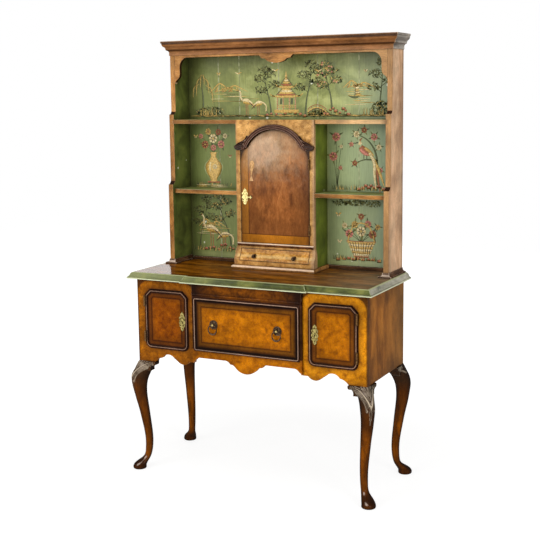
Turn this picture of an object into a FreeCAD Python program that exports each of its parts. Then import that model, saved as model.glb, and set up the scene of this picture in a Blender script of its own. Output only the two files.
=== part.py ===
import FreeCAD, Part
import math
import os

V = FreeCAD.Vector

# Directions: +X right, +Z up, the front faces -Y. While it is built, y = 0 is the back of the base
# carcase and z = 0 the floor; every piece is moved once at the end, so that the origin lies on the
# floor under the middle of the whole dresser.

# Base carcase
carcase_width = 1100.0
carcase_depth = 428.0
carcase_bottom = 505.0
worktop_thickness = 28.0
middle_bay_width = 524.0
breakfront = 12.0
board_thickness = 20.0
back_thickness = 12.0
partition_thickness = 15.0
bottom_thickness = 16.0
bottom_clearance = 2.0
apron_rise = 45.0
middle_apron_top = 83.0
middle_frieze_height = 71.0
frieze_bead_height = 11.0
frieze_bead_gap = 8.0
frieze_bead_proud = 5.0
frieze_bead_inset = 2.0

# Worktop and its mitred green edge
front_overhang = 38.0
side_overhang = 30.0
back_overhang = 9.0
edge_width = 24.0
edge_lip = 7.0
edge_quirk = 4.0

# Legs: distances along the diagonal of a corner, out of (+) or into (-) the carcase
post_size = 42.0
knee_size = 62.0
foot_radius = 30.0
foot_reach = 12.5
foot_pad_height = 12.0
foot_base_radius = 26.5
ear_reach = 86.0
ear_height = 43.0
ear_proud = 6.0
ear_thickness = 36.0
ear_scroll = 15.0

# Side doors of the base
door_inner_stile = 28.0
door_outer_stile = 42.0
door_sill = 65.0
door_head = 48.0
door_opening_height = 264.0
door_thickness = 20.0
door_gap = 2.0
door_corner = 26.0
door_face_proud = 2.0
door_bead_width = 9.0
door_bead_proud = 4.0

# Hinges: brass butts with their knuckles in front of the wood
knuckle_radius = 4.0
pin_radius = 1.6
pin_clearance = 0.05
knuckle_gap = 0.3
leaf_thickness = 1.2
leaf_depth = 21.0
side_hinge_length = 48.0
side_hinge_inset = 28.0
side_pin_forward = 11.0
knuckle_count = 3

# Locks
escutcheon_width = 32.0
escutcheon_height = 88.0
escutcheon_thickness = 1.4
escutcheon_margin = 0.8
keyhole_height_share = 0.47
keyhole_radius = 2.8
keyhole_slot_width = 2.8
keyhole_slot_length = 8.0
lock_width = 36.0
lock_height = 46.0
lock_thickness = 11.0
lock_face_wall = 3.0
bolt_height = 10.0
bolt_thickness = 4.5
bolt_length = 26.0
bolt_clearance = 0.3
bolt_pocket_depth = 9.0

# Middle drawer
drawer_lip_overlap = 6.0
drawer_lip_thickness = 3.0
drawer_bead_width = 8.0
drawer_bead_proud = 3.0
drawer_gap = 2.0
drawer_front_thickness = 22.0
drawer_side_thickness = 12.0
drawer_side_drop = 9.0
drawer_back_space = 20.0
drawer_bottom_thickness = 8.0
drawer_bottom_height = 8.0
groove_depth = 5.0
runner_width = 22.0
running_gap = 0.3
kicker_gap = 3.0
kicker_height = 18.0

# Ring pulls of the middle drawer
pull_spacing = 306.0
pull_height_share = 0.52
rosette_radius = 20.0
rosette_thickness = 3.0
rosette_rim = 4.0
post_stem_radius = 2.8
post_ball_radius = 5.5
post_ball_neck = 4.4
post_reach = 9.0
pull_nut_radius = 7.0
pull_nut_thickness = 4.0
ring_radius = 20.0
ring_wire_radius = 2.2
ring_clearance = 1.0

# Hutch
hutch_inset = 11.0
hutch_side_thickness = 24.0
hutch_back_thickness = 12.0
hutch_depth_top = 131.0
hutch_depth_middle = 150.0
hutch_depth_bottom = 171.0
upper_step_over_shelf = 24.0
upper_step_rise = 18.0
lower_step_over_shelf = 21.0
lower_step_rise = 26.0
shelf_thickness = 18.0
lower_bay_rise = 345.0
middle_bay_rise = 317.0
top_bay_rise = 299.0
lower_shelf_front = 5.0
housing_depth = 6.0
top_board_thickness = 16.0
plank_edge_shares = (0.0, 0.157, 0.262, 0.456, 0.642, 0.832, 1.0)
plank_groove = 2.0

# Cornice and frieze
cornice_height = 55.0
cornice_drop = 9.0
cornice_projection = 31.0
cornice_seat = 22.0
frieze_thickness = 18.0
frieze_band = 19.0
frieze_drop = 33.0
frieze_drop_width = 170.0
bracket_width = 63.0
bracket_height = 118.0

# Foot mouldings of the hutch
foot_moulding_height = 20.0
foot_moulding_width = 17.0
foot_moulding_lip = 6.0
back_rail_height = 15.0

# Centre cupboard of the hutch
cupboard_stile = 23.0
cupboard_front = 155.5
cupboard_face_thickness = 18.0
cupboard_side_thickness = 16.0
cupboard_door_width = 336.0
cupboard_door_sill = 18.0
cupboard_head = 26.0
shoulder_drop = 18.0
arch_radius = 146.0
arch_spring_angle = 30.0
hood_width = 21.5
hood_proud = 12.0
hood_fillet = 3.0
horn_reach = 25.0
horn_height = 33.0
cupboard_floor_thickness = 14.0
cupboard_floor_drop = 4.0
cupboard_bead_height = 16.0
cupboard_bead_proud = 6.0
cupboard_bead_inset = 3.0
flare_head = 10.0
flare_reach = 20.5
flare_side_reach = 6.0
plinth_height = 15.0
plinth_lip = 7.0
plinth_front_reach = 17.0
plinth_side_reach = 8.0
cupboard_hinge_length = 44.0
cupboard_hinge_rise = 43.0
cupboard_hinge_drop = 79.0
cupboard_knuckle_radius = 3.5
cupboard_leaf_depth = 15.0
cupboard_escutcheon_width = 30.0
cupboard_escutcheon_height = 76.0
cupboard_escutcheon_rise = 167.0
cupboard_escutcheon_inset = 20.0

# Key of the cupboard
key_shank_radius = 1.8
key_gap = 0.6
key_lever_length = 32.0
key_lever_width = 4.0
key_lever_thickness = 3.0
key_cross_height = 14.0
key_cross_width = 5.0
key_tip_length = 5.0
key_bit_length = 5.0

# Small drawer under the cupboard
small_drawer_sill = 20.0
small_drawer_height = 54.0
small_drawer_gap = 1.5
small_drawer_side = 8.0
small_drawer_back_wall = 12.5
small_drawer_base = 5.0
small_side_drop = 5.0
small_runner_width = 20.0
knob_spacing = 196.0
knob_height_share = 0.4
knob_plate_radius = 9.0
knob_plate_thickness = 1.5
knob_stem_radius = 2.4
knob_ball_radius = 6.0
knob_reach = 10.0

# Plates and screws that tie the hutch to the base
plate_width = 18.0
plate_height = 70.0
plate_thickness = 2.0
plate_foot = 22.0
screw_radius = 2.0
screw_length = 22.0
screw_head_radius = 4.0
screw_head_height = 1.6

# One overrun serves every cut that has to pass a face
overrun = 5.0

# Places worked out from the sizes above
half_width = carcase_width / 2
half_middle = middle_bay_width / 2
bay_width = half_width - half_middle
front_y = -carcase_depth
middle_front_y = front_y - breakfront
carcase_top = carcase_bottom + door_sill + door_opening_height + door_head
worktop_height = carcase_top + worktop_thickness
inner_half = half_width - board_thickness
board_bottom_z = carcase_bottom + apron_rise + bottom_clearance
floor_z = board_bottom_z + bottom_thickness
back_face_y = -board_thickness
frame_back_y = front_y + board_thickness
lip_half_width = half_width + side_overhang
lip_front_y = front_y - front_overhang
worktop_back_y = back_overhang
foot_offset = foot_reach * math.sqrt(0.5)
foot_back_y = foot_offset + foot_radius
origin_y = (lip_front_y - breakfront + foot_back_y) / 2
lower_shelf_top = worktop_height + lower_bay_rise
upper_shelf_top = lower_shelf_top + middle_bay_rise
hutch_top = upper_shelf_top + top_bay_rise
lower_step_height = lower_shelf_top + lower_step_over_shelf
upper_step_height = upper_shelf_top + upper_step_over_shelf
hutch_half = half_width - hutch_inset
hutch_inner = hutch_half - hutch_side_thickness
hutch_back_y = worktop_back_y
hutch_back_face = hutch_back_y - hutch_back_thickness
hutch_front_y = hutch_back_y - hutch_depth_top
hutch_middle_y = hutch_back_y - hutch_depth_middle
hutch_bottom_y = hutch_back_y - hutch_depth_bottom
cupboard_door_half = cupboard_door_width / 2
cupboard_half = cupboard_door_half + cupboard_stile
cupboard_front_y = hutch_back_y - cupboard_front
cupboard_back_y = cupboard_front_y + cupboard_face_thickness
cupboard_inner = cupboard_half - cupboard_side_thickness
cupboard_opening = cupboard_door_half + door_gap
plinth_top = worktop_height + plinth_height
small_drawer_bottom = plinth_top + small_drawer_sill
flare_top = small_drawer_bottom + small_drawer_height + flare_head
cupboard_door_bottom = flare_top + cupboard_door_sill
arch_centre_height = upper_shelf_top - shelf_thickness - cupboard_head - arch_radius
spring_height = arch_centre_height + arch_radius * math.sin(math.radians(arch_spring_angle))
cupboard_shoulder_height = spring_height - shoulder_drop
cupboard_hinge_low = cupboard_door_bottom + cupboard_hinge_rise
cupboard_hinge_high = cupboard_shoulder_height - cupboard_hinge_drop
cupboard_escutcheon_centre = cupboard_door_half - cupboard_escutcheon_inset
cupboard_escutcheon_bottom = cupboard_door_bottom + cupboard_escutcheon_rise
keyhole_z = cupboard_escutcheon_bottom + keyhole_height_share * cupboard_escutcheon_height


def box(x0, x1, y0, y1, z0, z1):
    """Block between two corners."""
    return Part.makeBox(x1 - x0, y1 - y0, z1 - z0, V(x0, y0, z0))


def loop_face(points, origin, along, up):
    """Flat face inside an outline of (a, b) or (a, b, bulge) points.

    A bulge bends the edge to the next point into an arc whose height is the bulge times half the
    chord, to the right of the way the outline runs.
    """
    edges = []
    for here, there in zip(points, points[1:] + points[:1]):
        start = origin + along * here[0] + up * here[1]
        end = origin + along * there[0] + up * there[1]
        if len(here) == 3:
            across = there[0] - here[0]
            rise = there[1] - here[1]
            middle_a = (here[0] + there[0] + here[2] * rise) / 2
            middle_b = (here[1] + there[1] - here[2] * across) / 2
            middle = origin + along * middle_a + up * middle_b
            edges.append(Part.Arc(start, middle, end).toShape())
        else:
            edges.append(Part.LineSegment(start, end).toShape())
    return Part.Face(Part.Wire(edges))


def front_plate(points, y0, y1):
    """Plate with an outline of (x, z) points, between two depths."""
    return loop_face(points, V(0, y0, 0), V(1, 0, 0), V(0, 0, 1)).extrude(V(0, y1 - y0, 0))


def side_plate(points, x0, x1):
    """Plate with an outline of (y, z) points, between two widths."""
    return loop_face(points, V(x0, 0, 0), V(0, 1, 0), V(0, 0, 1)).extrude(V(x1 - x0, 0, 0))


def plan_plate(points, z0, z1):
    """Plate with an outline of (x, y) points, between two heights."""
    return loop_face(points, V(0, 0, z0), V(1, 0, 0), V(0, 1, 0)).extrude(V(0, 0, z1 - z0))


def rod(radius, start, direction, length):
    """Round bar."""
    return Part.makeCylinder(radius, length, start, direction)


def both_halves(right_half, closing_bulge=0.0):
    """Whole outline from its right half; the closing edge joins the two first points."""
    points = list(right_half)
    for i in range(len(right_half) - 1, -1, -1):
        place = (-right_half[i][0], right_half[i][1])
        bulge = closing_bulge
        if i > 0 and len(right_half[i - 1]) == 3:
            bulge = right_half[i - 1][2]
        elif i > 0:
            bulge = 0.0
        points.append(place + (bulge,) if bulge else place)
    return points


def mirror_x(shape):
    """The same piece on the other side of the middle."""
    return shape.mirror(V(0, 0, 0), V(1, 0, 0))


def mirror_depth(shape):
    """The same piece at the other end of the carcase's depth."""
    return shape.mirror(V(0, -carcase_depth / 2, 0), V(0, 1, 0))


def mitred_run(path, profile):
    """Moulding along a plan path, one piece per straight, with mitres at the turns.

    The path runs with the outside on its right; the profile is (out, z) with optional bulges.
    """
    reach = 2 * max(abs(point[0]) for point in profile)
    low = min(point[1] for point in profile) - reach
    high = max(point[1] for point in profile) + reach
    points = [V(x, y, 0) for x, y in path]
    ways = [(b - a).normalize() for a, b in zip(points, points[1:])]
    outs = [V(way.y, -way.x, 0) for way in ways]
    ends = [outs[0]]
    for one, two in zip(outs, outs[1:]):
        ends.append((one + two) * (1 / (1 + one.dot(two))))
    ends.append(outs[-1])
    pieces = []
    for i, way in enumerate(ways):
        start = points[i] - way * reach
        length = (points[i + 1] - points[i]).Length + 2 * reach
        bar = loop_face(profile, start, outs[i], V(0, 0, 1)).extrude(way * length)
        corners = [points[i] - ends[i] * reach, points[i] + ends[i] * reach,
                   points[i + 1] + ends[i + 1] * reach, points[i + 1] - ends[i + 1] * reach]
        plan = [(corner.x, corner.y) for corner in corners]
        pieces.append(bar.common(plan_plate(plan, low, high)).Solids[0])
    return pieces


def whole(shapes):
    """Several solids kept as one group."""
    solids = []
    for shape in shapes:
        solids.extend(shape.Solids)
    return solids[0] if len(solids) == 1 else Part.makeCompound(solids)


# Legs

# Height above the floor as a share of the carcase's underside, how far the leg reaches out and in
# along the diagonal as shares of the knee's size, its width as such a share, and how round it is
leg_shares = (
    (1.00, 0.0, -1.414, 1.414, 0.0),
    (0.965, 0.17, -1.38, 1.30, 0.25),
    (0.93, 0.32, -1.09, 1.15, 0.6),
    (0.88, 0.50, -0.81, 1.02, 0.85),
    (0.82, 0.56, -0.59, 0.97, 1.0),
    (0.75, 0.49, -0.50, 0.90, 1.0),
    (0.66, 0.35, -0.52, 0.82, 1.0),
    (0.56, 0.14, -0.62, 0.74, 1.0),
    (0.45, -0.05, -0.72, 0.67, 1.0),
    (0.34, -0.22, -0.82, 0.60, 1.0),
    (0.25, -0.29, -0.85, 0.55, 1.0),
    (0.17, -0.27, -0.79, 0.52, 1.0),
    (0.11, -0.14, -0.66, 0.55, 1.0),
)
quarter_arc_share = 0.5523
third_share = 1 / 3


def leg_section(z, out, back, width, roundness):
    """Closed section across a leg at the front right corner: four quarters, square to round."""
    diagonal = V(1, -1, 0).normalize()
    across = V(1, 1, 0).normalize()
    centre = V(half_width, front_y, z) + diagonal * ((out + back) / 2)
    long_half = diagonal * ((out - back) / 2)
    wide_half = across * (width / 2)
    edges = []
    turns = [(long_half, wide_half), (wide_half, -long_half), (-long_half, -wide_half),
             (-wide_half, long_half)]
    for one, two in turns:
        straight = third_share * (1 - roundness)
        bend = quarter_arc_share * roundness
        first = one * (1 - straight) + two * (straight + bend)
        second = two * (1 - straight) + one * (straight + bend)
        curve = Part.BezierCurve()
        curve.setPoles([centre + one, centre + first, centre + second, centre + two])
        edges.append(curve.toShape())
    return Part.Wire(edges)


def leg():
    """Cabriole leg of the front right corner, with its post and pad foot."""
    sections = []
    for height, out, back, width, roundness in leg_shares:
        sections.append(leg_section(height * carcase_bottom, out * knee_size, back * knee_size,
                                    width * knee_size, roundness))
    for z, radius in ((2 * foot_pad_height, 0.93 * foot_radius), (foot_pad_height, foot_radius),
                      (foot_pad_height / 3, foot_radius), (0, foot_base_radius)):
        middle = foot_reach if z <= foot_pad_height else foot_reach - foot_pad_height / 2
        sections.append(leg_section(z, middle + radius, middle - radius, 2 * radius, 1.0))
    shaft = Part.makeLoft(sections, True, False)
    post = box(inner_half - post_size, inner_half, frame_back_y, frame_back_y + post_size,
               carcase_bottom, carcase_top)
    return shaft.fuse(post).removeSplitter()


def ear(shaft):
    """Shaped knee block beside the front right leg, under the front of the carcase."""
    tip = half_width - ear_reach
    root = half_width - knee_size / 2
    points = [
        (root, carcase_bottom),
        (tip + ear_scroll / 3, carcase_bottom, 0.5),
        (tip, carcase_bottom - ear_scroll / 2, 0.8),
        (tip + ear_scroll, carcase_bottom - ear_scroll, -0.35),
        (half_width - knee_size, carcase_bottom - ear_height),
        (root, carcase_bottom - ear_height),
    ]
    block = front_plate(points, front_y - ear_proud, front_y - ear_proud + ear_thickness)
    return block.cut(shaft)


def knee_blocks(shaft):
    """Eight ears, two at each leg."""
    front = ear(shaft)
    swap = FreeCAD.Matrix(0, -1, 0, half_width + front_y, -1, 0, 0, half_width + front_y,
                          0, 0, 1, 0, 0, 0, 0, 1)
    side = front.transformGeometry(swap)
    pair = [front, side]
    blocks = pair + [mirror_x(one) for one in pair]
    return blocks + [mirror_depth(one) for one in blocks]


# Base carcase

def base_side():
    """Right side of the base, between the front frame and the back edge."""
    return box(inner_half, half_width, frame_back_y, 0, carcase_bottom, carcase_top)


def base_back():
    """Back panel between the sides, set in a little."""
    return box(-inner_half, inner_half, back_face_y, back_face_y + back_thickness,
               carcase_bottom + apron_rise, carcase_top)


def base_bottom(posts):
    """Floor board of the base, notched round the leg posts."""
    board = box(-inner_half, inner_half, frame_back_y, back_face_y, board_bottom_z, floor_z)
    return board.cut(whole(posts))


# Lower edge of a side bay, from the partition outwards: shares of the bay's width and the apron's
# rise, with the bulge of the arc to the next point
bay_apron_shares = (
    (0.0, 0.38), (0.083, 0.38, 0.45), (0.29, 0.27), (0.36, 0.58, -0.5), (0.576, 0.49, -0.2),
    (0.708, 0.0),
)
# Right half of the middle bay's lower edge, outwards from the drop in its middle
middle_apron_shares = (
    (0.19, 0.38, -0.25), (0.294, 0.69, -0.3), (0.405, 1.0), (0.863, 1.0, -0.25),
    (0.954, 0.71, -0.2), (1.0, 0.42),
)
middle_drop_bulge = 0.44


def scaled(shares, origin_a, span_a, origin_b, span_b):
    """Outline points from a table of shares."""
    return [(origin_a + span_a * share[0], origin_b + span_b * share[1]) + tuple(share[2:])
            for share in shares]


def door_outline(inset):
    """Outline of the right door, canted at the top and round at the bottom, moved in by an inset."""
    x0 = half_middle + door_inner_stile + inset
    x1 = half_width - door_outer_stile - inset
    z0 = carcase_bottom + door_sill + inset
    z1 = carcase_bottom + door_sill + door_opening_height - inset
    quarter = math.tan(math.pi / 8)
    corner = door_corner - inset * (1 - quarter)
    return [(x0 + corner, z0), (x1 - corner, z0, quarter), (x1, z0 + corner), (x1, z1 - corner),
            (x1 - corner, z1), (x0 + corner, z1), (x0, z1 - corner), (x0, z0 + corner, quarter)]


def bay_front(leaves, pocket):
    """Front frame of the right side bay, with its door opening and scalloped lower edge."""
    edge = scaled(bay_apron_shares, half_middle, bay_width, carcase_bottom, apron_rise)
    points = edge + [(half_width, carcase_bottom), (half_width, carcase_top),
                     (half_middle, carcase_top)]
    frame = front_plate(points, front_y, frame_back_y)
    hole = front_plate(door_outline(0), front_y - overrun, frame_back_y + overrun)
    return frame.cut(hole).cut(whole(leaves)).cut(pocket)


def middle_apron():
    """Scalloped rail under the middle drawer."""
    top = carcase_bottom + middle_apron_top
    half = scaled(middle_apron_shares, 0, half_middle, carcase_bottom, apron_rise)
    half.append((half_middle, top))
    return front_plate(both_halves(half, middle_drop_bulge), middle_front_y,
                       middle_front_y + board_thickness)


def middle_frieze():
    """Rail over the middle drawer."""
    return box(-half_middle, half_middle, middle_front_y, middle_front_y + board_thickness,
               carcase_top - middle_frieze_height, carcase_top)


def frieze_bead():
    """Half-round moulding across the rail over the drawer."""
    low = opening_top() + drawer_lip_overlap + frieze_bead_gap
    half_height = frieze_bead_height / 2
    bulge = frieze_bead_proud / half_height
    points = [(middle_front_y, low + frieze_bead_height, bulge), (middle_front_y, low)]
    half = half_middle - frieze_bead_inset
    return side_plate(points, -half, half)


def opening_bottom():
    """Lower edge of the middle drawer's opening."""
    return carcase_bottom + middle_apron_top


def opening_top():
    """Upper edge of the middle drawer's opening."""
    return carcase_top - middle_frieze_height


def partition(cutters):
    """Upright between the middle and the right bay; its front edge is the drawer's stile."""
    panel = box(half_middle - partition_thickness, half_middle, middle_front_y, back_face_y,
                floor_z, carcase_top)
    for cutter in cutters:
        panel = panel.cut(cutter)
    return panel


def drawer_clear_half():
    """Half the clear width between the partitions."""
    return half_middle - partition_thickness


def runner_and_kicker():
    """Rails on the right partition that carry the middle drawer and stop it tipping."""
    x1 = drawer_clear_half()
    x0 = x1 - runner_width
    y0 = drawer_back_y() + drawer_gap
    base = opening_bottom() + drawer_gap
    runner = box(x0, x1, y0, back_face_y, floor_z, base - running_gap)
    low = opening_top() - drawer_gap - drawer_side_drop + kicker_gap
    kicker = box(x0, x1, y0, back_face_y, low, low + kicker_height)
    return [runner, kicker]


# Worktop

def worktop_path(inset):
    """Plan path of the worktop's edge, from the left back corner round the front."""
    x = lip_half_width - inset
    y = lip_front_y + inset
    step = half_middle + front_overhang - inset
    return [(-x, worktop_back_y), (-x, y), (-step, y), (-step, y - breakfront),
            (step, y - breakfront), (step, y), (x, y), (x, worktop_back_y)]


def worktop():
    """Walnut board inside the green edge."""
    return plan_plate(worktop_path(edge_width), carcase_top, worktop_height)


def worktop_edge():
    """Seven mitred pieces of moulding round the front and the ends of the worktop."""
    lip_top = carcase_top + edge_lip
    middle_out = (edge_width + edge_quirk) / 2
    middle_z = (lip_top + worktop_height) / 2
    profile = [(0, carcase_top), (edge_width, carcase_top), (edge_width, lip_top, -0.2),
               (middle_out, middle_z, 0.25), (edge_quirk, worktop_height), (0, worktop_height)]
    return mitred_run(worktop_path(edge_width), profile)


# Hinges and locks

def hinge(x, y, z0, length, radius, depth, gap):
    """Right-hand butt hinge with its pin at (x, y): frame part, door part and pin."""
    span = (length - (knuckle_count - 1) * knuckle_gap) / knuckle_count
    bore = rod(pin_radius + pin_clearance, V(x, y, z0), V(0, 0, 1), length)
    reach = y + radius * math.sqrt(0.5)
    frame_x = x + gap / 2
    door_x = x - gap / 2 - leaf_thickness
    parts = {
        "frame": box(frame_x, frame_x + leaf_thickness, reach, y + depth, z0, z0 + length),
        "door": box(door_x, door_x + leaf_thickness, reach, y + depth, z0, z0 + length),
    }
    for i in range(knuckle_count):
        low = z0 + i * (span + knuckle_gap)
        owner, other = ("frame", "door") if i % 2 == 0 else ("door", "frame")
        barrel = rod(radius, V(x, y, low), V(0, 0, 1), span)
        room = rod(radius + knuckle_gap, V(x, y, low - knuckle_gap), V(0, 0, 1),
                   span + 2 * knuckle_gap)
        parts[other] = parts[other].cut(room)
        parts[owner] = parts[owner].fuse(barrel)
    pin = rod(pin_radius, V(x, y, z0), V(0, 0, 1), length)
    frame = parts["frame"].cut(bore)
    door = parts["door"].cut(bore)
    return frame, door, pin


def side_hinges():
    """The two hinges of the right side door."""
    x = half_width - door_outer_stile - door_gap / 2
    y = front_y - side_pin_forward
    low = carcase_bottom + door_sill + side_hinge_inset
    high = low + door_opening_height - 2 * side_hinge_inset - side_hinge_length
    return [hinge(x, y, z, side_hinge_length, knuckle_radius, leaf_depth, door_gap)
            for z in (low, high)]


def cupboard_hinges():
    """The two hinges of the cupboard door, on its right."""
    x = cupboard_opening - door_gap / 2
    y = cupboard_front_y - hood_proud / 2
    return [hinge(x, y, z, cupboard_hinge_length, cupboard_knuckle_radius, cupboard_leaf_depth,
                  door_gap) for z in (cupboard_hinge_low, cupboard_hinge_high)]


def keyhole(x, z, y0, y1):
    """Keyhole-shaped cutter: a round top over a slot."""
    half = keyhole_slot_width / 2
    slot = box(x - half, x + half, y0, y1, z - keyhole_slot_length, z)
    return rod(keyhole_radius, V(x, y0, z), V(0, 1, 0), y1 - y0).fuse(slot)


# Right half of an escutcheon, from its lower point upwards: shares of half the width and the height
escutcheon_shares = (
    (0.0, 0.0), (0.28, 0.05, 0.3), (0.5, 0.15), (0.42, 0.2, 0.5), (0.88, 0.3), (0.7, 0.36, 0.4),
    (1.0, 0.47), (0.7, 0.58, 0.4), (0.95, 0.7), (0.5, 0.8, 0.4), (0.3, 0.92), (0.0, 1.0),
)
# Piercings of an escutcheon: place and radius as shares of half the width, the height and half width
piercing_shares = ((0.45, 0.3, 0.16), (0.5, 0.64, 0.18), (0.0, 0.16, 0.15), (0.0, 0.8, 0.17))


def escutcheon(x, z0, width, height, y):
    """Pierced brass plate round a keyhole, lying in front of the plane y."""
    half = scaled(escutcheon_shares, 0, width / 2, z0, height)
    right = both_halves(half[1:-1])
    outline = half[:-1] + [half[-1]] + right[len(half) - 2:]
    plate = front_plate([(x + point[0],) + tuple(point[1:]) for point in outline],
                        y - escutcheon_thickness, y)
    cutters = [keyhole(x, z0 + keyhole_height_share * height, y - overrun, y + overrun)]
    for across, up, size in piercing_shares:
        for side in (-1, 1):
            centre = V(x + side * across * width / 2, y - overrun, z0 + up * height)
            cutters.append(rod(size * width / 2, centre, V(0, 1, 0), 2 * overrun))
    for cutter in cutters:
        plate = plate.cut(cutter)
    return plate


def lock(edge_x, key_x, z, back_y):
    """Lock case let into the back of a right-hand door, its bolt, and the pocket in the frame.

    The bolt leaves over the door's edge at edge_x, towards -x.
    """
    front = back_y - lock_thickness
    case = box(edge_x, edge_x + lock_width, front, back_y, z - lock_height / 2,
               z + lock_height / 2)
    bolt_y = back_y - lock_face_wall - bolt_thickness
    bolt = box(edge_x, edge_x + bolt_length, bolt_y, bolt_y + bolt_thickness,
               z - bolt_height / 2, z + bolt_height / 2)
    room = box(edge_x - overrun, edge_x + bolt_length + bolt_clearance, bolt_y - bolt_clearance,
               bolt_y + bolt_thickness + bolt_clearance, z - bolt_height / 2 - bolt_clearance,
               z + bolt_height / 2 + bolt_clearance)
    well = rod(keyhole_slot_length + key_gap, V(key_x, front + key_gap, z), V(0, 1, 0),
               bolt_y - front - key_gap)
    hollow = case.cut(room).cut(well).cut(keyhole(key_x, z, front - overrun, bolt_y))
    pocket = box(edge_x - door_gap - bolt_pocket_depth, edge_x, bolt_y - bolt_clearance,
                 bolt_y + bolt_thickness + bolt_clearance, z - bolt_height / 2 - bolt_clearance,
                 z + bolt_height / 2 + bolt_clearance)
    return case, hollow, bolt, pocket


def side_door_planes():
    """Front and back faces of a side door."""
    face = front_y - door_face_proud
    return face, face + door_thickness


def side_door_lock():
    """Lock of the right side door."""
    edge_x = half_middle + door_inner_stile + door_gap
    z = door_key_height()
    return lock(edge_x, door_key_place(), z, side_door_planes()[1])


def door_key_place():
    """Middle of a side door's escutcheon, just inside the bead."""
    bead_end = half_middle + door_inner_stile + door_gap + door_bead_width
    return bead_end + escutcheon_margin + escutcheon_width / 2


def escutcheon_foot():
    """Lower point of a side door's escutcheon."""
    return carcase_bottom + door_sill + (door_opening_height - escutcheon_height) / 2


def door_key_height():
    """Height of a side door's keyhole."""
    return escutcheon_foot() + keyhole_height_share * escutcheon_height


def side_door(case, leaves):
    """Right side door: a veneered slab with a raised bead round its edge."""
    face, back = side_door_planes()
    slab = front_plate(door_outline(door_gap), face, back)
    bead_front = face - door_bead_proud
    ring = front_plate(door_outline(door_gap), bead_front, face)
    field = front_plate(door_outline(door_gap + door_bead_width), bead_front - overrun, face)
    hole = keyhole(door_key_place(), door_key_height(), face - overrun, back)
    door = slab.fuse(ring.cut(field)).removeSplitter()
    return door.cut(case).cut(hole).cut(whole(leaves))


# Middle drawer

def drawer_half():
    """Half the width of the middle drawer's box."""
    return drawer_clear_half() - drawer_gap


def drawer_base_z():
    """Underside of the middle drawer's box."""
    return opening_bottom() + drawer_gap


def drawer_back_y():
    """Back face of the middle drawer's front."""
    return middle_front_y + drawer_front_thickness


def drawer_end_y():
    """Back end of the middle drawer."""
    return back_face_y - drawer_back_space


def drawer_bottom():
    """Bottom board, let into grooves in the front and the sides."""
    half = drawer_half() - drawer_side_thickness + groove_depth
    low = drawer_base_z() + drawer_bottom_height
    return box(-half, half, drawer_back_y() - groove_depth, drawer_end_y(), low,
               low + drawer_bottom_thickness)


def drawer_front(bottom, posts):
    """Lipped and beaded drawer front."""
    half = drawer_clear_half() + drawer_lip_overlap
    low = opening_bottom() - drawer_lip_overlap
    high = opening_top() + drawer_lip_overlap
    lip_y = middle_front_y - drawer_lip_thickness
    lip = box(-half, half, lip_y - drawer_bead_proud, middle_front_y, low, high)
    field = box(-half + drawer_bead_width, half - drawer_bead_width, lip_y - drawer_bead_proud,
                lip_y, low + drawer_bead_width, high - drawer_bead_width)
    body = box(-drawer_half(), drawer_half(), middle_front_y, drawer_back_y(), drawer_base_z(),
               opening_top() - drawer_gap)
    return lip.cut(field).fuse(body).removeSplitter().cut(bottom).cut(whole(posts))


def drawer_box(bottom):
    """Sides and back of the middle drawer."""
    half = drawer_half()
    top = opening_top() - drawer_gap - drawer_side_drop
    side = box(half - drawer_side_thickness, half, drawer_back_y(), drawer_end_y(),
               drawer_base_z(), top).cut(bottom)
    inner = half - drawer_side_thickness
    low = drawer_base_z() + drawer_bottom_height + drawer_bottom_thickness
    back = box(-inner, inner, drawer_end_y() - drawer_side_thickness, drawer_end_y(), low, top)
    return [side, mirror_x(side), back]


def pull_place():
    """Pivot of the right ring pull: it hangs in the ball at the front of its post."""
    low = opening_bottom() - drawer_lip_overlap
    height = opening_top() - opening_bottom() + 2 * drawer_lip_overlap
    face = middle_front_y - drawer_lip_thickness
    return V(pull_spacing / 2, face - rosette_thickness - post_reach,
             low + pull_height_share * height)


def ring_at(place):
    """Ring that hangs from a place on its centre line."""
    centre = place - V(0, 0, ring_radius)
    return Part.makeTorus(ring_radius, ring_wire_radius, centre, V(0, 1, 0))


def pull_post(place):
    """Post with its ball, thread and nut; the ring hangs through the ball."""
    stem_end = drawer_back_y() + pull_nut_thickness
    start = V(place.x, place.y + post_ball_neck, place.z)
    stem = rod(post_stem_radius, start, V(0, 1, 0), stem_end - start.y)
    ball = Part.makeSphere(post_ball_radius, place, V(1, 0, 0))
    nut = rod(pull_nut_radius, V(place.x, drawer_back_y(), place.z), V(0, 1, 0),
              pull_nut_thickness)
    hole = rod(ring_wire_radius + ring_clearance, place - V(post_ball_radius, 0, 0), V(1, 0, 0),
               2 * post_ball_radius)
    return ball.cut(hole).fuse(stem).fuse(nut)


def rosette(place, post):
    """Round stamped plate behind a ring pull, with a raised rim."""
    face = middle_front_y - drawer_lip_thickness
    disc = rod(rosette_radius, V(place.x, face - rosette_thickness, place.z), V(0, 1, 0),
               rosette_thickness)
    dish = rod(rosette_radius - rosette_rim, V(place.x, face - rosette_thickness, place.z),
               V(0, 1, 0), rosette_thickness / 2)
    boss = rod(post_stem_radius + rosette_rim, V(place.x, face - rosette_thickness, place.z),
               V(0, 1, 0), rosette_thickness)
    return disc.cut(dish).fuse(boss).cut(post)


# Hutch

def hutch_side(shelves, screws):
    """Right side of the hutch, stepped back twice on its way up."""
    points = [
        (hutch_back_y, worktop_height),
        (hutch_back_y, hutch_top),
        (hutch_front_y, hutch_top),
        (hutch_front_y, upper_step_height + upper_step_rise, -0.4),
        (hutch_middle_y, upper_step_height),
        (hutch_middle_y, lower_step_height + lower_step_rise, -0.4),
        (hutch_bottom_y, lower_step_height),
        (hutch_bottom_y, worktop_height),
    ]
    side = side_plate(points, hutch_inner, hutch_half)
    for cutter in shelves + screws:
        side = side.cut(cutter)
    return side


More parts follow.
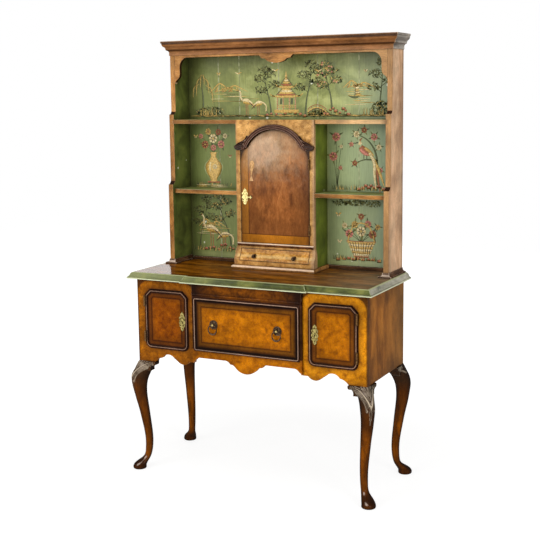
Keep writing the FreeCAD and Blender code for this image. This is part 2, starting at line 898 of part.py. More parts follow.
def back_planks():
    """Upright planks of the hutch's back, with a small groove at each joint."""
    edges = [-hutch_inner + share * 2 * hutch_inner for share in plank_edge_shares]
    planks = []
    for left, right in zip(edges, edges[1:]):
        plank = box(left, right, hutch_back_face, hutch_back_y, worktop_height, hutch_top)
        for x in (left, right):
            groove = box(x - plank_groove / 2, x + plank_groove / 2, hutch_back_face,
                         hutch_back_face + plank_groove, worktop_height, hutch_top)
            plank = plank.cut(groove)
        planks.append(plank)
    return planks


def top_board():
    """Board that closes the hutch under the cornice."""
    return box(-hutch_inner, hutch_inner, hutch_front_y + frieze_thickness, hutch_back_face,
               hutch_top - top_board_thickness, hutch_top)


def cornice():
    """Three mitred pieces of crown moulding."""
    low = hutch_top - cornice_drop
    high = hutch_top + cornice_height
    fillet = cornice_drop
    out = cornice_projection
    profile = [
        (0, low), (out * 0.1, low), (out * 0.1, hutch_top, -0.45), (out * 0.42, low + fillet * 2.6),
        (out * 0.48, low + fillet * 3.2, -0.25), (out * 0.68, low + fillet * 4.3, 0.25),
        (out * 0.9, high - fillet * 1.4), (out * 0.9, high - fillet), (out, high - fillet),
        (out, high), (-cornice_seat, high), (-cornice_seat, hutch_top), (0, hutch_top),
    ]
    path = [(-hutch_half, hutch_back_y), (-hutch_half, hutch_front_y), (hutch_half, hutch_front_y),
            (hutch_half, hutch_back_y)]
    return mitred_run(path, profile)


# Right half of the frieze's lower edge: the drop in shares of half its width and its depth
frieze_drop_shares = ((0.5, -0.76), (0.62, -0.48), (0.85, -0.4, -0.3), (1.0, 0.0))
# The bracket at its end in shares of the bracket's width and height
bracket_shares = ((0.0, 0.0, -0.38), (0.587, -0.37), (0.587, -0.6, 0.25), (0.79, -0.83, -0.25),
                  (1.0, -1.0))
frieze_lobe_bulge = 0.22


def frieze():
    """Shaped rail between the tops of the sides, with brackets at its ends."""
    edge = hutch_top - frieze_band
    half = scaled(frieze_drop_shares, 0, frieze_drop_width / 2, edge, frieze_drop)
    half += scaled(bracket_shares, hutch_inner - bracket_width, bracket_width, edge,
                   bracket_height)
    half.append((hutch_inner, hutch_top))
    return front_plate(both_halves(half, frieze_lobe_bulge), hutch_front_y,
                       hutch_front_y + frieze_thickness)


def upper_shelf():
    """Full-width shelf, housed in the sides and notched round the cupboard's face."""
    reach = hutch_inner + housing_depth
    board = box(-reach, reach, hutch_middle_y, hutch_back_face,
                upper_shelf_top - shelf_thickness, upper_shelf_top)
    notch = box(-cupboard_half, cupboard_half, hutch_middle_y - overrun, cupboard_back_y,
                upper_shelf_top - 2 * shelf_thickness, upper_shelf_top + overrun)
    return board.cut(notch)


def lower_shelf():
    """Shelf between the right side of the hutch and the cupboard."""
    return box(cupboard_half, hutch_inner + housing_depth, hutch_middle_y - lower_shelf_front,
               hutch_back_face, lower_shelf_top - shelf_thickness, lower_shelf_top)


def foot_profile(base):
    """Section of the small base mouldings, standing on a height."""
    lip = base + foot_moulding_lip
    top = base + foot_moulding_height
    width = foot_moulding_width
    return [(0, base), (width, base), (width, lip), (0.75 * width, lip, -0.4),
            (0.2 * width, 0.85 * top + 0.15 * base), (0.2 * width, top), (0, top)]


def foot_mouldings():
    """Base mouldings round the feet of both sides, and the rails along the back between them."""
    path = [(hutch_inner, hutch_back_face), (hutch_inner, hutch_bottom_y),
            (hutch_half, hutch_bottom_y), (hutch_half, hutch_back_y)]
    pieces = mitred_run(path, foot_profile(worktop_height))
    inner = hutch_inner - foot_moulding_width
    rail = box(cupboard_half + plinth_side_reach + flare_side_reach, inner,
               hutch_back_face - foot_moulding_width, hutch_back_face, worktop_height,
               worktop_height + back_rail_height)
    pieces.append(rail)
    return pieces + [mirror_x(piece) for piece in pieces]


# Cupboard

def cupboard_side():
    """Right side of the cupboard, between its plinth and the upper shelf."""
    return box(cupboard_inner, cupboard_half, cupboard_back_y, hutch_back_face, plinth_top,
               upper_shelf_top - shelf_thickness)


def arch_outline(inset):
    """Outline of the cupboard door, with its arched and shouldered head, moved in by an inset."""
    half = cupboard_door_half + door_gap - inset
    radius = arch_radius + door_gap - inset
    angle = math.radians(arch_spring_angle)
    spring = (radius * math.cos(angle), arch_centre_height + radius * math.sin(angle))
    shoulder = cupboard_shoulder_height + door_gap - inset
    bottom = cupboard_door_bottom - door_gap + inset
    half_sweep = math.pi / 2 - angle
    arc = math.tan(half_sweep / 2)
    return [(-half, bottom), (half, bottom), (half, shoulder, -0.2), spring + (arc,),
            (-spring[0], spring[1], -0.2), (-half, shoulder)]


def flare_body():
    """Flared block that gives the lower front of the cupboard its ogee shape."""
    low_y = cupboard_front_y - flare_reach
    third = (flare_top - plinth_top) / 3
    front = [(cupboard_back_y, plinth_top), (cupboard_back_y, flare_top),
             (cupboard_front_y, flare_top, -0.12), (cupboard_front_y - flare_reach / 2,
                                                   plinth_top + 1.6 * third, 0.2),
             (low_y, plinth_top + 0.8 * third), (low_y, plinth_top)]
    wide = cupboard_half + flare_side_reach
    ends = [(-wide, plinth_top), (wide, plinth_top), (wide, plinth_top + 0.8 * third, 0.12),
            (cupboard_half, flare_top), (-cupboard_half, flare_top, 0.12),
            (-wide, plinth_top + 0.8 * third)]
    return side_plate(front, -wide, wide).common(
        front_plate(ends, low_y - overrun, cupboard_back_y + overrun))


def small_opening(gap):
    """Opening of the small drawer through the cupboard's face, moved in by a gap."""
    return box(-cupboard_opening + gap, cupboard_opening - gap,
               cupboard_front_y - 2 * flare_reach, cupboard_back_y + overrun,
               small_drawer_bottom + gap, small_drawer_bottom + small_drawer_height - gap)


def cupboard_face(leaves, pocket):
    """Face of the cupboard: stiles, rails and arched head in one, flared at the foot."""
    panel = box(-cupboard_half, cupboard_half, cupboard_front_y, cupboard_back_y, flare_top,
                upper_shelf_top)
    face = panel.fuse(flare_body()).removeSplitter()
    hole = front_plate(arch_outline(0), cupboard_front_y - overrun, cupboard_back_y + overrun)
    face = face.cut(hole).cut(small_opening(0))
    return face.cut(whole(leaves)).cut(pocket)


def hood():
    """Carved hood moulding: an arch with a scrolled horn at each end."""
    inner = arch_radius + door_gap
    outer = inner + hood_width
    y = cupboard_front_y
    front = y - hood_proud
    angle = arch_spring_angle
    centre = V(0, 0, arch_centre_height)
    points = [(inner, y), (outer, y), (outer, y - hood_fillet),
              (outer - hood_fillet, y - 2 * hood_fillet, 0.3), (outer - 2 * hood_fillet, front),
              (inner + 2 * hood_fillet, front, 0.3), (inner, y - 2 * hood_fillet)]
    section = loop_face(points, centre, V(1, 0, 0), V(0, 1, 0))
    start = section.rotate(centre, V(0, 1, 0), -angle)
    arch = start.revolve(centre, V(0, 1, 0), -(180 - 2 * angle))
    radians = math.radians(angle)
    root_in = (inner * math.cos(radians), arch_centre_height + inner * math.sin(radians))
    root_out = (outer * math.cos(radians), arch_centre_height + outer * math.sin(radians))
    low = cupboard_shoulder_height + door_gap
    tip = cupboard_opening + horn_reach
    horn = [root_in + (0.2,), (cupboard_opening, low, 0.5),
            (tip, low + horn_height / 2), (tip - hood_fillet, low + 0.6 * horn_height, -0.2),
            (cupboard_door_half - hood_fillet, low + horn_height), root_out]
    right = front_plate(horn, front, y)
    return [arch, right, mirror_x(right)]


def cupboard_floor():
    """Floor board of the cupboard and the bead in front of it, under the door."""
    top = cupboard_door_bottom - cupboard_floor_drop
    board = box(-cupboard_inner, cupboard_inner, cupboard_back_y, hutch_back_face,
                top - cupboard_floor_thickness, top)
    half = cupboard_half - cupboard_bead_inset
    high = cupboard_door_bottom - door_gap
    low = high - cupboard_bead_height
    bulge = cupboard_bead_proud / (cupboard_bead_height / 2)
    bead = side_plate([(cupboard_front_y, high, bulge), (cupboard_front_y, low)], -half, half)
    return [board, bead.cut(flare_body())]


def plinth():
    """Moulded base board under the cupboard."""
    wide = cupboard_half + flare_side_reach
    low_wide = wide + plinth_side_reach
    front = cupboard_front_y - flare_reach
    low_front = front - plinth_front_reach
    lip = worktop_height + plinth_lip
    side_points = [(hutch_back_face, worktop_height), (hutch_back_face, plinth_top),
                   (front, plinth_top, 0.3), (low_front, lip), (low_front, worktop_height)]
    front_points = [(-low_wide, worktop_height), (low_wide, worktop_height), (low_wide, lip, 0.3),
                    (wide, plinth_top), (-wide, plinth_top, 0.3), (-low_wide, lip)]
    return side_plate(side_points, -low_wide, low_wide).common(
        front_plate(front_points, low_front - overrun, hutch_back_y))


def cupboard_lock():
    """Lock of the cupboard door, at its left edge."""
    case, hollow, bolt, pocket = lock(-cupboard_door_half, -cupboard_escutcheon_centre, keyhole_z,
                                      cupboard_back_y)
    return case, hollow, bolt, pocket


def cupboard_door(case, leaves):
    """Arched door of the cupboard."""
    slab = front_plate(arch_outline(door_gap), cupboard_front_y, cupboard_back_y)
    hole = keyhole(-cupboard_escutcheon_centre, keyhole_z, cupboard_front_y - overrun,
                   cupboard_back_y)
    return slab.cut(case).cut(hole).cut(whole(leaves))


def cupboard_key():
    """Key in the cupboard's lock, with its flat grip turned to the right."""
    x = -cupboard_escutcheon_centre
    front = cupboard_front_y - escutcheon_thickness - key_gap
    grip_y = front - key_lever_thickness
    end = cupboard_back_y - lock_thickness + key_gap + key_bit_length / 2
    shank = rod(key_shank_radius, V(x, grip_y, keyhole_z), V(0, 1, 0), end - grip_y)
    half = key_lever_width / 2
    lever = box(x, x + key_lever_length, grip_y, front, keyhole_z - half, keyhole_z + half)
    cross_x = x + key_lever_length - key_cross_width
    cross = box(cross_x, cross_x + key_cross_width, grip_y, front,
                keyhole_z - key_cross_height / 2, keyhole_z + key_cross_height / 2)
    tip = box(x + key_lever_length, x + key_lever_length + key_tip_length, grip_y, front,
              keyhole_z - half / 2, keyhole_z + half / 2)
    bit_y = cupboard_back_y - lock_thickness + key_gap
    bit = box(x - half / 2, x + half / 2, bit_y + key_gap, end, keyhole_z - key_bit_length,
              keyhole_z)
    return shank.fuse(lever).fuse(cross).fuse(tip).fuse(bit)


# Small drawer

def small_half():
    """Half the width of the small drawer's front."""
    return cupboard_opening - small_drawer_gap


def small_front(knobs):
    """Front of the small drawer, cut from the same flare as the face round it."""
    front = flare_body().common(small_opening(small_drawer_gap))
    return front.cut(whole(knobs))


def small_box():
    """Sides, back and bottom of the small drawer."""
    half = small_half() - small_drawer_gap
    inner = half - small_drawer_side
    low = small_drawer_bottom + small_drawer_gap
    top = small_drawer_bottom + small_drawer_height - small_drawer_gap - small_side_drop
    end = hutch_back_face - small_drawer_back_wall
    side = box(inner, half, cupboard_back_y, end, low, top)
    base = low + small_drawer_base
    bottom = box(-inner - groove_depth, inner + groove_depth, cupboard_back_y, end, base,
                 base + small_drawer_base)
    side = side.cut(bottom)
    back = box(-inner, inner, end - small_drawer_side, end, base + small_drawer_base, top)
    return [side, mirror_x(side), back, bottom]


def small_runner():
    """Rail under the right side of the small drawer, on the plinth."""
    return box(cupboard_inner - small_runner_width, cupboard_inner, cupboard_back_y,
               hutch_back_face, plinth_top, small_drawer_bottom + small_drawer_gap - running_gap)


def knob():
    """Right brass knob of the small drawer, its stem through the front."""
    z = small_drawer_bottom + knob_height_share * small_drawer_height
    x = knob_spacing / 2
    face = cupboard_front_y - flare_reach
    plate = rod(knob_plate_radius, V(x, face - knob_plate_thickness, z), V(0, 1, 0),
                flare_reach)
    stem = rod(knob_stem_radius, V(x, face - knob_reach, z), V(0, 1, 0),
               cupboard_back_y - face + knob_reach)
    ball = Part.makeSphere(knob_ball_radius, V(x, face - knob_reach, z))
    room = rod(knob_plate_radius, V(x, face - knob_plate_thickness, z), V(0, 1, 0),
               flare_reach).cut(flare_body())
    return ball.fuse(stem).fuse(plate.common(room).Solids[0])


# Fixings

def fixing():
    """Plate behind the right foot of the hutch and its two screws."""
    x = (hutch_inner + hutch_half) / 2
    low = worktop_height - plate_foot
    plate = box(x - plate_width / 2, x + plate_width / 2, hutch_back_y,
                hutch_back_y + plate_thickness, low, low + plate_height)
    screws = []
    for z in (worktop_height - plate_foot / 2, low + plate_height - plate_foot / 2):
        start = V(x, hutch_back_y + plate_thickness - screw_length, z)
        shank = rod(screw_radius, start, V(0, 1, 0), screw_length)
        head = rod(screw_head_radius, V(x, hutch_back_y + plate_thickness, z), V(0, 1, 0),
                   screw_head_height)
        screws.append(shank.fuse(head))
    for screw in screws:
        plate = plate.cut(screw)
    return plate, screws


def build():
    """Every node by name."""
    nodes = {}
    shaft = leg()
    nodes["front_right_leg"] = shaft
    nodes["front_left_leg"] = mirror_x(shaft)
    nodes["back_right_leg"] = mirror_depth(shaft)
    nodes["back_left_leg"] = mirror_x(mirror_depth(shaft))
    nodes["knee_blocks"] = knee_blocks(shaft)
    posts = [nodes[side + "_leg"] for side in ("front_right", "front_left", "back_right",
                                               "back_left")]
    plate, screws = fixing()
    nodes["base_right_side"] = base_side()
    nodes["base_left_side"] = mirror_x(base_side())
    nodes["base_back"] = base_back()
    nodes["base_bottom"] = base_bottom(posts)
    hinges = side_hinges()
    door_leaves = [leaf for _, leaf, _ in hinges]
    frame_leaves = [leaf for leaf, _, _ in hinges]
    case, hollow, bolt, pocket = side_door_lock()
    right_front = bay_front(frame_leaves, pocket)
    nodes["right_bay_front"] = right_front
    nodes["left_bay_front"] = mirror_x(right_front)
    apron = middle_apron()
    rail = middle_frieze()
    right_partition = partition([apron, rail])
    nodes["partitions"] = [right_partition, mirror_x(right_partition)]
    nodes["middle_apron"] = apron
    nodes["middle_frieze"] = [rail, frieze_bead()]
    rails = runner_and_kicker() + [small_runner()]
    nodes["drawer_runners"] = rails + [mirror_x(one) for one in rails]
    screw_pairs = screws + [mirror_x(one) for one in screws]
    nodes["worktop"] = worktop()
    edges = worktop_edge()
    nodes["worktop_edge"] = [edge.cut(whole(screw_pairs)) for edge in edges]
    nodes["worktop"] = nodes["worktop"].cut(whole(screw_pairs))
    door = side_door(case, door_leaves)
    plate_front = escutcheon(door_key_place(), escutcheon_foot(), escutcheon_width,
                             escutcheon_height, side_door_planes()[0])
    right_set = {"door": door, "door_escutcheon": plate_front, "door_lock": hollow,
                 "door_bolt": bolt, "door_leaves": door_leaves}
    for name, shape in right_set.items():
        shapes = shape if isinstance(shape, list) else [shape]
        nodes["right_" + name] = shapes
        nodes["left_" + name] = [mirror_x(one) for one in shapes]
    high_hinges = cupboard_hinges()
    high_frame = [leaf for leaf, _, _ in high_hinges]
    high_door = [leaf for _, leaf, _ in high_hinges]
    fixed = frame_leaves + [mirror_x(one) for one in frame_leaves] + high_frame
    pins = [pin for _, _, pin in hinges]
    pins = pins + [mirror_x(pin) for pin in pins] + [pin for _, _, pin in high_hinges]
    nodes["frame_leaves_and_pins"] = fixed + pins
    place = pull_place()
    post = pull_post(place)
    left_post = mirror_x(post)
    bottom = drawer_bottom()
    nodes["drawer_front"] = drawer_front(bottom, [post, left_post])
    nodes["drawer_box"] = drawer_box(bottom)
    nodes["drawer_bottom"] = bottom
    plate_right = rosette(place, post)
    nodes["pull_rosettes"] = [plate_right, mirror_x(plate_right)]
    nodes["pull_posts"] = [post, left_post]
    nodes["right_ring_pull"] = ring_at(place)
    nodes["left_ring_pull"] = mirror_x(ring_at(place))
    shelf = upper_shelf()
    short = lower_shelf()
    right_side = hutch_side([shelf, short], screws)
    nodes["hutch_right_side"] = right_side
    nodes["hutch_left_side"] = mirror_x(right_side)
    nodes["hutch_back_planks"] = back_planks()
    nodes["hutch_top"] = top_board()
    nodes["cornice"] = cornice()
    nodes["frieze"] = frieze()
    nodes["upper_shelf"] = shelf
    nodes["lower_shelves"] = [short, mirror_x(short)]
    nodes["foot_mouldings"] = foot_mouldings()
    nodes["cupboard_sides"] = [cupboard_side(), mirror_x(cupboard_side())]
    high_case, high_hollow, high_bolt, high_pocket = cupboard_lock()
    nodes["cupboard_face"] = cupboard_face(high_frame, high_pocket)
    nodes["cupboard_hood"] = hood()
    nodes["cupboard_floor"] = cupboard_floor()
    nodes["cupboard_plinth"] = plinth()
    nodes["cupboard_door"] = cupboard_door(high_case, high_door)
    nodes["cupboard_escutcheon"] = escutcheon(
        -cupboard_escutcheon_centre, cupboard_escutcheon_bottom, cupboard_escutcheon_width,
        cupboard_escutcheon_height, cupboard_front_y)
    nodes["cupboard_lock"] = high_hollow
    nodes["cupboard_bolt"] = high_bolt
    nodes["cupboard_key"] = cupboard_key()
    nodes["cupboard_door_leaves"] = high_door
    knobs = [knob(), mirror_x(knob())]
    nodes["small_drawer_front"] = small_front(knobs)
    nodes["small_drawer_box"] = small_box()
    nodes["small_drawer_knobs"] = knobs
    nodes["fixing_plates"] = [plate, mirror_x(plate)]
    nodes["fixing_screws"] = screw_pairs
    return nodes


def main():
    """Write one file for each node, with the origin under the middle of the dresser."""
    os.makedirs("parts", exist_ok=True)
    for name, shape in build().items():
        group = whole(shape if isinstance(shape, list) else [shape])
        group.translate(V(0, -origin_y, 0))
        group.exportStep("parts/" + name + ".step")
        print(name, len(group.Solids), round(group.Volume / 1000, 1), group.isValid())


main()
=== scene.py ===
"""Looks of a veneered and painted dresser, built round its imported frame."""

import logging
import math
import random
from contextlib import contextmanager
from dataclasses import dataclass, field, replace
from enum import Enum
from functools import cache, partial
from typing import Callable, Iterator, Sequence

import bpy
import numpy as np
from mathutils import Matrix, Vector
from mathutils.bvhtree import BVHTree


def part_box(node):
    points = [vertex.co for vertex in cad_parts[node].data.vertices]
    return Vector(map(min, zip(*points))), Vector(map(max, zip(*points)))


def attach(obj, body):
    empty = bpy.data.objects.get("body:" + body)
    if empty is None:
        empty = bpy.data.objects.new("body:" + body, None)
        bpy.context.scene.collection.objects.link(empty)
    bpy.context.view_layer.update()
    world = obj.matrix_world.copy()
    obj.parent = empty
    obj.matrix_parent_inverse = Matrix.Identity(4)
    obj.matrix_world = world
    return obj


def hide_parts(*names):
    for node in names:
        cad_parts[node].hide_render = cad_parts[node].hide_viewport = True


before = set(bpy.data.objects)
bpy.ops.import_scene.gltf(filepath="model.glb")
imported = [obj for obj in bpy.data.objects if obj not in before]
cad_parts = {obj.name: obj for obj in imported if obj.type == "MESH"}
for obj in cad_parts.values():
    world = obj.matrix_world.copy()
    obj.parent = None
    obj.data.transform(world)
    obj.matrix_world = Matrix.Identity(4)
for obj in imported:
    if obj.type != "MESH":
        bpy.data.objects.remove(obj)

LOG = logging.getLogger("dresser")
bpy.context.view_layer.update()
MM = 0.001
DIAGONAL = math.sqrt(0.5)
# Colour of the painted shade and soiling in corners
SHADE_AND_GRIME_TONE = "#1a0d06"

Colour = tuple[float, float, float, float]
Point = tuple[float, float]
Dab = tuple[float, float, float]
Stops = tuple[tuple[float, str, float], ...]
Array = np.ndarray
Place = Callable[[Array, Array, Array], Array]
Test = Callable[[Vector, Vector], bool]
Shape = bpy.types.Object
Material = bpy.types.Material
Tree = bpy.types.NodeTree
Node = bpy.types.Node
Add = Callable[..., Node]
Socket = bpy.types.NodeSocket


class Side(Enum):
    """Which side of the middle a piece is on, as the sign of x."""

    RIGHT = 1
    LEFT = -1


class Grain(Enum):
    """The way a wood's grain runs, as the stretch of its streaks along x, y and z."""

    ALONG_X = (26.0, 1.0, 1.0)
    ALONG_Y = (1.0, 26.0, 1.0)
    ALONG_Z = (1.0, 1.0, 26.0)
    FLAME = (1.0, 1.0, 7.0)
    BURR = (1.4, 1.4, 1.4)


# Meshes

def clear_selection() -> None:
    """Leaves nothing selected, in object mode."""
    if bpy.context.object is not None and bpy.context.object.mode != "OBJECT":
        bpy.ops.object.mode_set(mode="OBJECT")
    bpy.ops.object.select_all(action="DESELECT")


def take(*shapes: Shape) -> None:
    """Selects some objects alone and makes the first the active one.

    Args:
        shapes: The objects to work on.
    """
    clear_selection()
    for shape in shapes:
        shape.select_set(True)
    bpy.context.view_layer.objects.active = shapes[0]


@contextmanager
def editing(shape: Shape, kind: str = "FACE",
            chosen: Sequence[bool] | None = None) -> Iterator[None]:
    """Keeps one mesh in edit mode, with all or some of it selected.

    Args:
        shape: The mesh object.
        kind: What is selected, "FACE" or "VERT".
        chosen: Whether each one is selected, where not all are.

    Yields:
        Nothing, while the mesh is in edit mode.
    """
    take(shape)
    bpy.ops.object.mode_set(mode="EDIT")
    bpy.ops.mesh.select_mode(type=kind)
    bpy.ops.mesh.select_all(action="SELECT" if chosen is None else "DESELECT")
    if chosen is not None:
        bpy.ops.object.mode_set(mode="OBJECT")
        parts = shape.data.vertices if kind == "VERT" else shape.data.polygons
        parts.foreach_set("select", np.array(chosen, bool))
        bpy.ops.object.mode_set(mode="EDIT")
    yield
    bpy.ops.object.mode_set(mode="OBJECT")


def modify(shape: Shape, kind: str, **settings: object) -> None:
    """Adds a modifier and applies it.

    Args:
        shape: The object to change.
        kind: The modifier's type.
        settings: The modifier's own settings.
    """
    take(shape)
    modifier = shape.modifiers.new(kind.title(), kind)
    for key, value in settings.items():
        setattr(modifier, key, value)
    bpy.ops.object.modifier_apply(modifier=modifier.name)


def smooth(shape: Shape, angle: float = 32.0) -> None:
    """Shades a piece smooth, with its real edges kept sharp.

    Args:
        shape: The object to shade.
        angle: The turn in degrees from which an edge is sharp.
    """
    take(shape)
    bpy.ops.object.shade_smooth_by_angle(angle=math.radians(angle))
    modify(shape, "WEIGHTED_NORMAL", keep_sharp=True)


def read_points(shape: Shape) -> Array:
    """Places of a mesh's vertices.

    Args:
        shape: The mesh object.

    Returns:
        One row of x, y, z for each vertex.
    """
    places = np.empty(len(shape.data.vertices) * 3, np.float32)
    shape.data.vertices.foreach_get("co", places)
    return places.reshape(-1, 3).astype(float)


def write_points(shape: Shape, places: Array) -> None:
    """Puts a mesh's vertices at new places.

    Args:
        shape: The mesh object.
        places: One row of x, y, z for each vertex.
    """
    shape.data.vertices.foreach_set("co", places.astype(np.float32).ravel())
    shape.data.update()


def primitive(name: str, operator: Callable[..., set[str]], **settings: object) -> Shape:
    """Adds a mesh primitive with its place and turn in its points.

    Args:
        name: The object's name.
        operator: The operator that adds it.
        settings: The operator's own settings.

    Returns:
        The new mesh object, at the origin.
    """
    clear_selection()
    operator(**settings)
    shape = bpy.context.object
    shape.name = shape.data.name = name
    bpy.ops.object.transform_apply(location=True, rotation=True)
    return shape


def join(name: str, shapes: Sequence[Shape]) -> Shape:
    """Makes one object of several, with their materials kept.

    Args:
        name: The new object's name.
        shapes: The objects to join.

    Returns:
        The joined object.
    """
    take(*shapes)
    bpy.ops.object.join()
    shapes[0].name = shapes[0].data.name = name
    return shapes[0]


def face_towards(shape: Shape, way: Vector) -> None:
    """Turns the faces of an open mesh so that on the whole they look one way.

    Args:
        shape: The mesh object.
        way: The direction to look in.
    """
    if sum(face.normal.dot(way) * face.area for face in shape.data.polygons) < 0:
        with editing(shape):
            bpy.ops.mesh.flip_normals()


def from_frame(node: str, name: str, easing: float = 0.0) -> Shape:
    """Copy of a node of the frame with its triangles merged and its edges eased.

    Args:
        node: The node's name.
        name: The copy's name.
        easing: Width of the eased edges in millimetres, or 0 for none.

    Returns:
        The copy, with no material.
    """
    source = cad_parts[node]
    shape = source.copy()
    shape.data = source.data.copy()
    shape.parent = None
    for key in list(shape.keys()):
        del shape[key]
    shape.name = shape.data.name = name
    bpy.context.scene.collection.objects.link(shape)
    shape.data.materials.clear()
    take(shape)
    bpy.ops.mesh.customdata_custom_splitnormals_clear()
    with editing(shape, "VERT"):
        bpy.ops.mesh.remove_doubles(threshold=0.002 * MM)
        if easing:
            bpy.ops.mesh.dissolve_limited(angle_limit=math.radians(0.5))
    if easing:
        modify(shape, "BEVEL", width=easing * MM, segments=2, limit_method="ANGLE",
               angle_limit=math.radians(35), use_clamp_overlap=False)
    write_points(shape, np.clip(read_points(shape), *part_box(node)))
    smooth(shape)
    return shape


def seat(shape: Shape, body: str, slot: str, *nodes: str) -> Shape:
    """Fixes a finished piece to its body and reports it.

    Args:
        shape: The finished piece.
        body: The body that it moves with.
        slot: The material slot, which is not used.
        nodes: Nodes of the frame that the piece stands for.

    Returns:
        The same piece.
    """
    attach(shape, body)
    if nodes:
        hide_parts(*nodes)
    LOG.info("%s rides on %s with %d faces", shape.name, body, len(shape.data.polygons))
    return shape


# Materials

def colour(text: str) -> Colour:
    """Linear colour of an sRGB hex value.

    Args:
        text: The value, such as "#b5701d".

    Returns:
        Red, green, blue and alpha.
    """
    parts = [int(text[i:i + 2], 16) / 255 for i in (1, 3, 5)]
    red, green, blue = (p / 12.92 if p <= 0.04045 else ((p + 0.055) / 1.055) ** 2.4 for p in parts)
    return red, green, blue, 1.0


def per(size: float) -> float:
    """Scale of a pattern whose patches are about this many millimetres wide."""
    return 1 / (size * MM)


def add_node(tree: Tree, kind: str, *inputs: object, **named: object) -> Node:
    """Adds one shader node with its settings and links.

    Args:
        tree: The node tree.
        kind: The node's type, and after a colon its operation.
        inputs: What goes into its inputs in order: a value, an sRGB hex colour, a socket, a node
            for its first output, or None for nothing.
        named: Settings by name, where "stops" fills a ramp with places, tones and covers, and
            inputs by name with a capital first and _ for a space.

    Returns:
        The new node.
    """
    kind, _, operation = kind.partition(":")
    node = tree.nodes.new("ShaderNode" + kind)
    if operation:
        node.operation = operation
    wanted = list(enumerate(inputs))
    for key, value in named.items():
        if key[0].isupper():
            wanted.append((key.replace("_", " "), value))
        elif key == "stops":
            ramp = node.color_ramp.elements
            while len(ramp) < len(value):
                ramp.new(1.0)
            for element, (position, tone, *cover) in zip(ramp, value):
                element.position = position
                element.color = (*colour(tone)[:3], cover[0] if cover else 1.0)
        else:
            setattr(node, key, value)
    for place, value in wanted:
        if isinstance(value, Node):
            value = value.outputs[0]
        if isinstance(value, Socket):
            tree.links.new(value, node.inputs[place])
        elif value is not None:
            node.inputs[place].default_value = colour(value) if isinstance(value, str) else value
    return node


def new_tree(owner: Material | bpy.types.World) -> Add:
    """Empties the node tree of a material or the world.

    Args:
        owner: The material or the world.

    Returns:
        A function that adds a node to the tree.
    """
    owner.use_nodes = True
    owner.node_tree.nodes.clear()
    return partial(add_node, owner.node_tree)


def finish_with(add: Add, relief: Node, strength: float, depth: float, **shader: object) -> None:
    """Ends a material with its shader and the fine relief of its surface.

    Args:
        add: Adds a node to the material.
        relief: Height of the relief.
        strength: How strongly it shows.
        depth: Its depth in millimetres.
        shader: Inputs of the shader.
    """
    bump = add("Bump", Strength=strength, Distance=depth * MM, Height=relief)
    add("OutputMaterial", add("BsdfPrincipled", **shader, Normal=bump))


@dataclass(frozen=True)
class Panel:
    """Bands of colour that follow the rounded outline of a panel on a front, in millimetres."""

    centre: Point  # x and z
    half: Point  # half the width and the height
    stops: Stops  # distance from the outline, colour there and how far it covers
    corner: float = 26.0  # radius of the outline's corners
    outside: bool = False  # whether the distances run outwards
    wander: float = 0.8  # how far the bands stray from their line
    canted: bool = False  # whether the upper corners are cut off straight

    def lay(self, add: Add, spot: Socket, base: Node) -> Node:
        """Colour with the panel's bands laid over it.

        Args:
            add: Adds a node to the material.
            spot: Place of each point.
            base: The colour so far.

        Returns:
            The new colour.
        """
        corner, wander, reach = self.corner * MM, self.wander * MM, self.stops[-1][0] * MM
        turn = 1.0 if self.outside else -1.0
        noise = add("TexNoise", Vector=spot, Scale=per(30), Detail=3.0)
        away = add("VectorMath:SUBTRACT", spot, (self.centre[0] * MM, 0, self.centre[1] * MM))
        flat = add("VectorMath:MULTIPLY", away, (1, 0, 1))
        past = add("VectorMath:SUBTRACT", add("VectorMath:ABSOLUTE", flat),
                   (self.half[0] * MM - corner, 0, self.half[1] * MM - corner))
        clipped = add("VectorMath:MAXIMUM", past, (0, 0, 0))
        outer = add("VectorMath:LENGTH", clipped).outputs["Value"]
        x, _, z = add("SeparateXYZ", past).outputs
        larger = add("Math:MAXIMUM", x, z)
        gap = add("Math:ADD", outer, add("Math:MINIMUM", larger, 0.0))
        if self.canted:
            cut = add("Math:MULTIPLY_ADD", add("Math:ADD", x, z), DIAGONAL, (1 - DIAGONAL) * corner)
            height = add("SeparateXYZ", flat).outputs["Z"]
            upper = add("Math:GREATER_THAN", height, 0.0)
            straight = add("Math:MAXIMUM", larger, cut)
            gap = add("MapRange", upper, 0.0, 1.0, gap, straight)
        level = add("Math:MULTIPLY_ADD", gap, turn, -turn * corner)
        shaken = add("Math:MULTIPLY_ADD", noise, 2 * wander, level)
        share = add("Math:MULTIPLY_ADD", shaken, 1 / reach, -wander / reach)
        band = add("ValToRGB", share,
                   stops=[(far * MM / reach, tone, cover) for far, tone, cover in self.stops])
        return add("MixRGB", band.outputs["Alpha"], base, band)


def around(node: str, stops: Stops, corner: float, spread: float = 0.0, drop: float = 0.0,
           **more: object) -> Panel:
    """Panel that follows the outline of a node of the frame, in millimetres.

    Args:
        node: The node's name.
        stops: Distances, colours and covers.
        corner: Radius of the outline's corners.
        spread: How far the outline lies outside the node.
        drop: Half of how far its lower edge is carried down.
        more: Other fields of the panel.

    Returns:
        The panel.
    """
    low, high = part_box(node)
    middle = (low + high) / (2 * MM)
    half = (high - low) / (2 * MM)
    return Panel((middle.x, middle.z - drop), (half.x + spread, half.z + spread + drop), stops,
                 corner, **more)


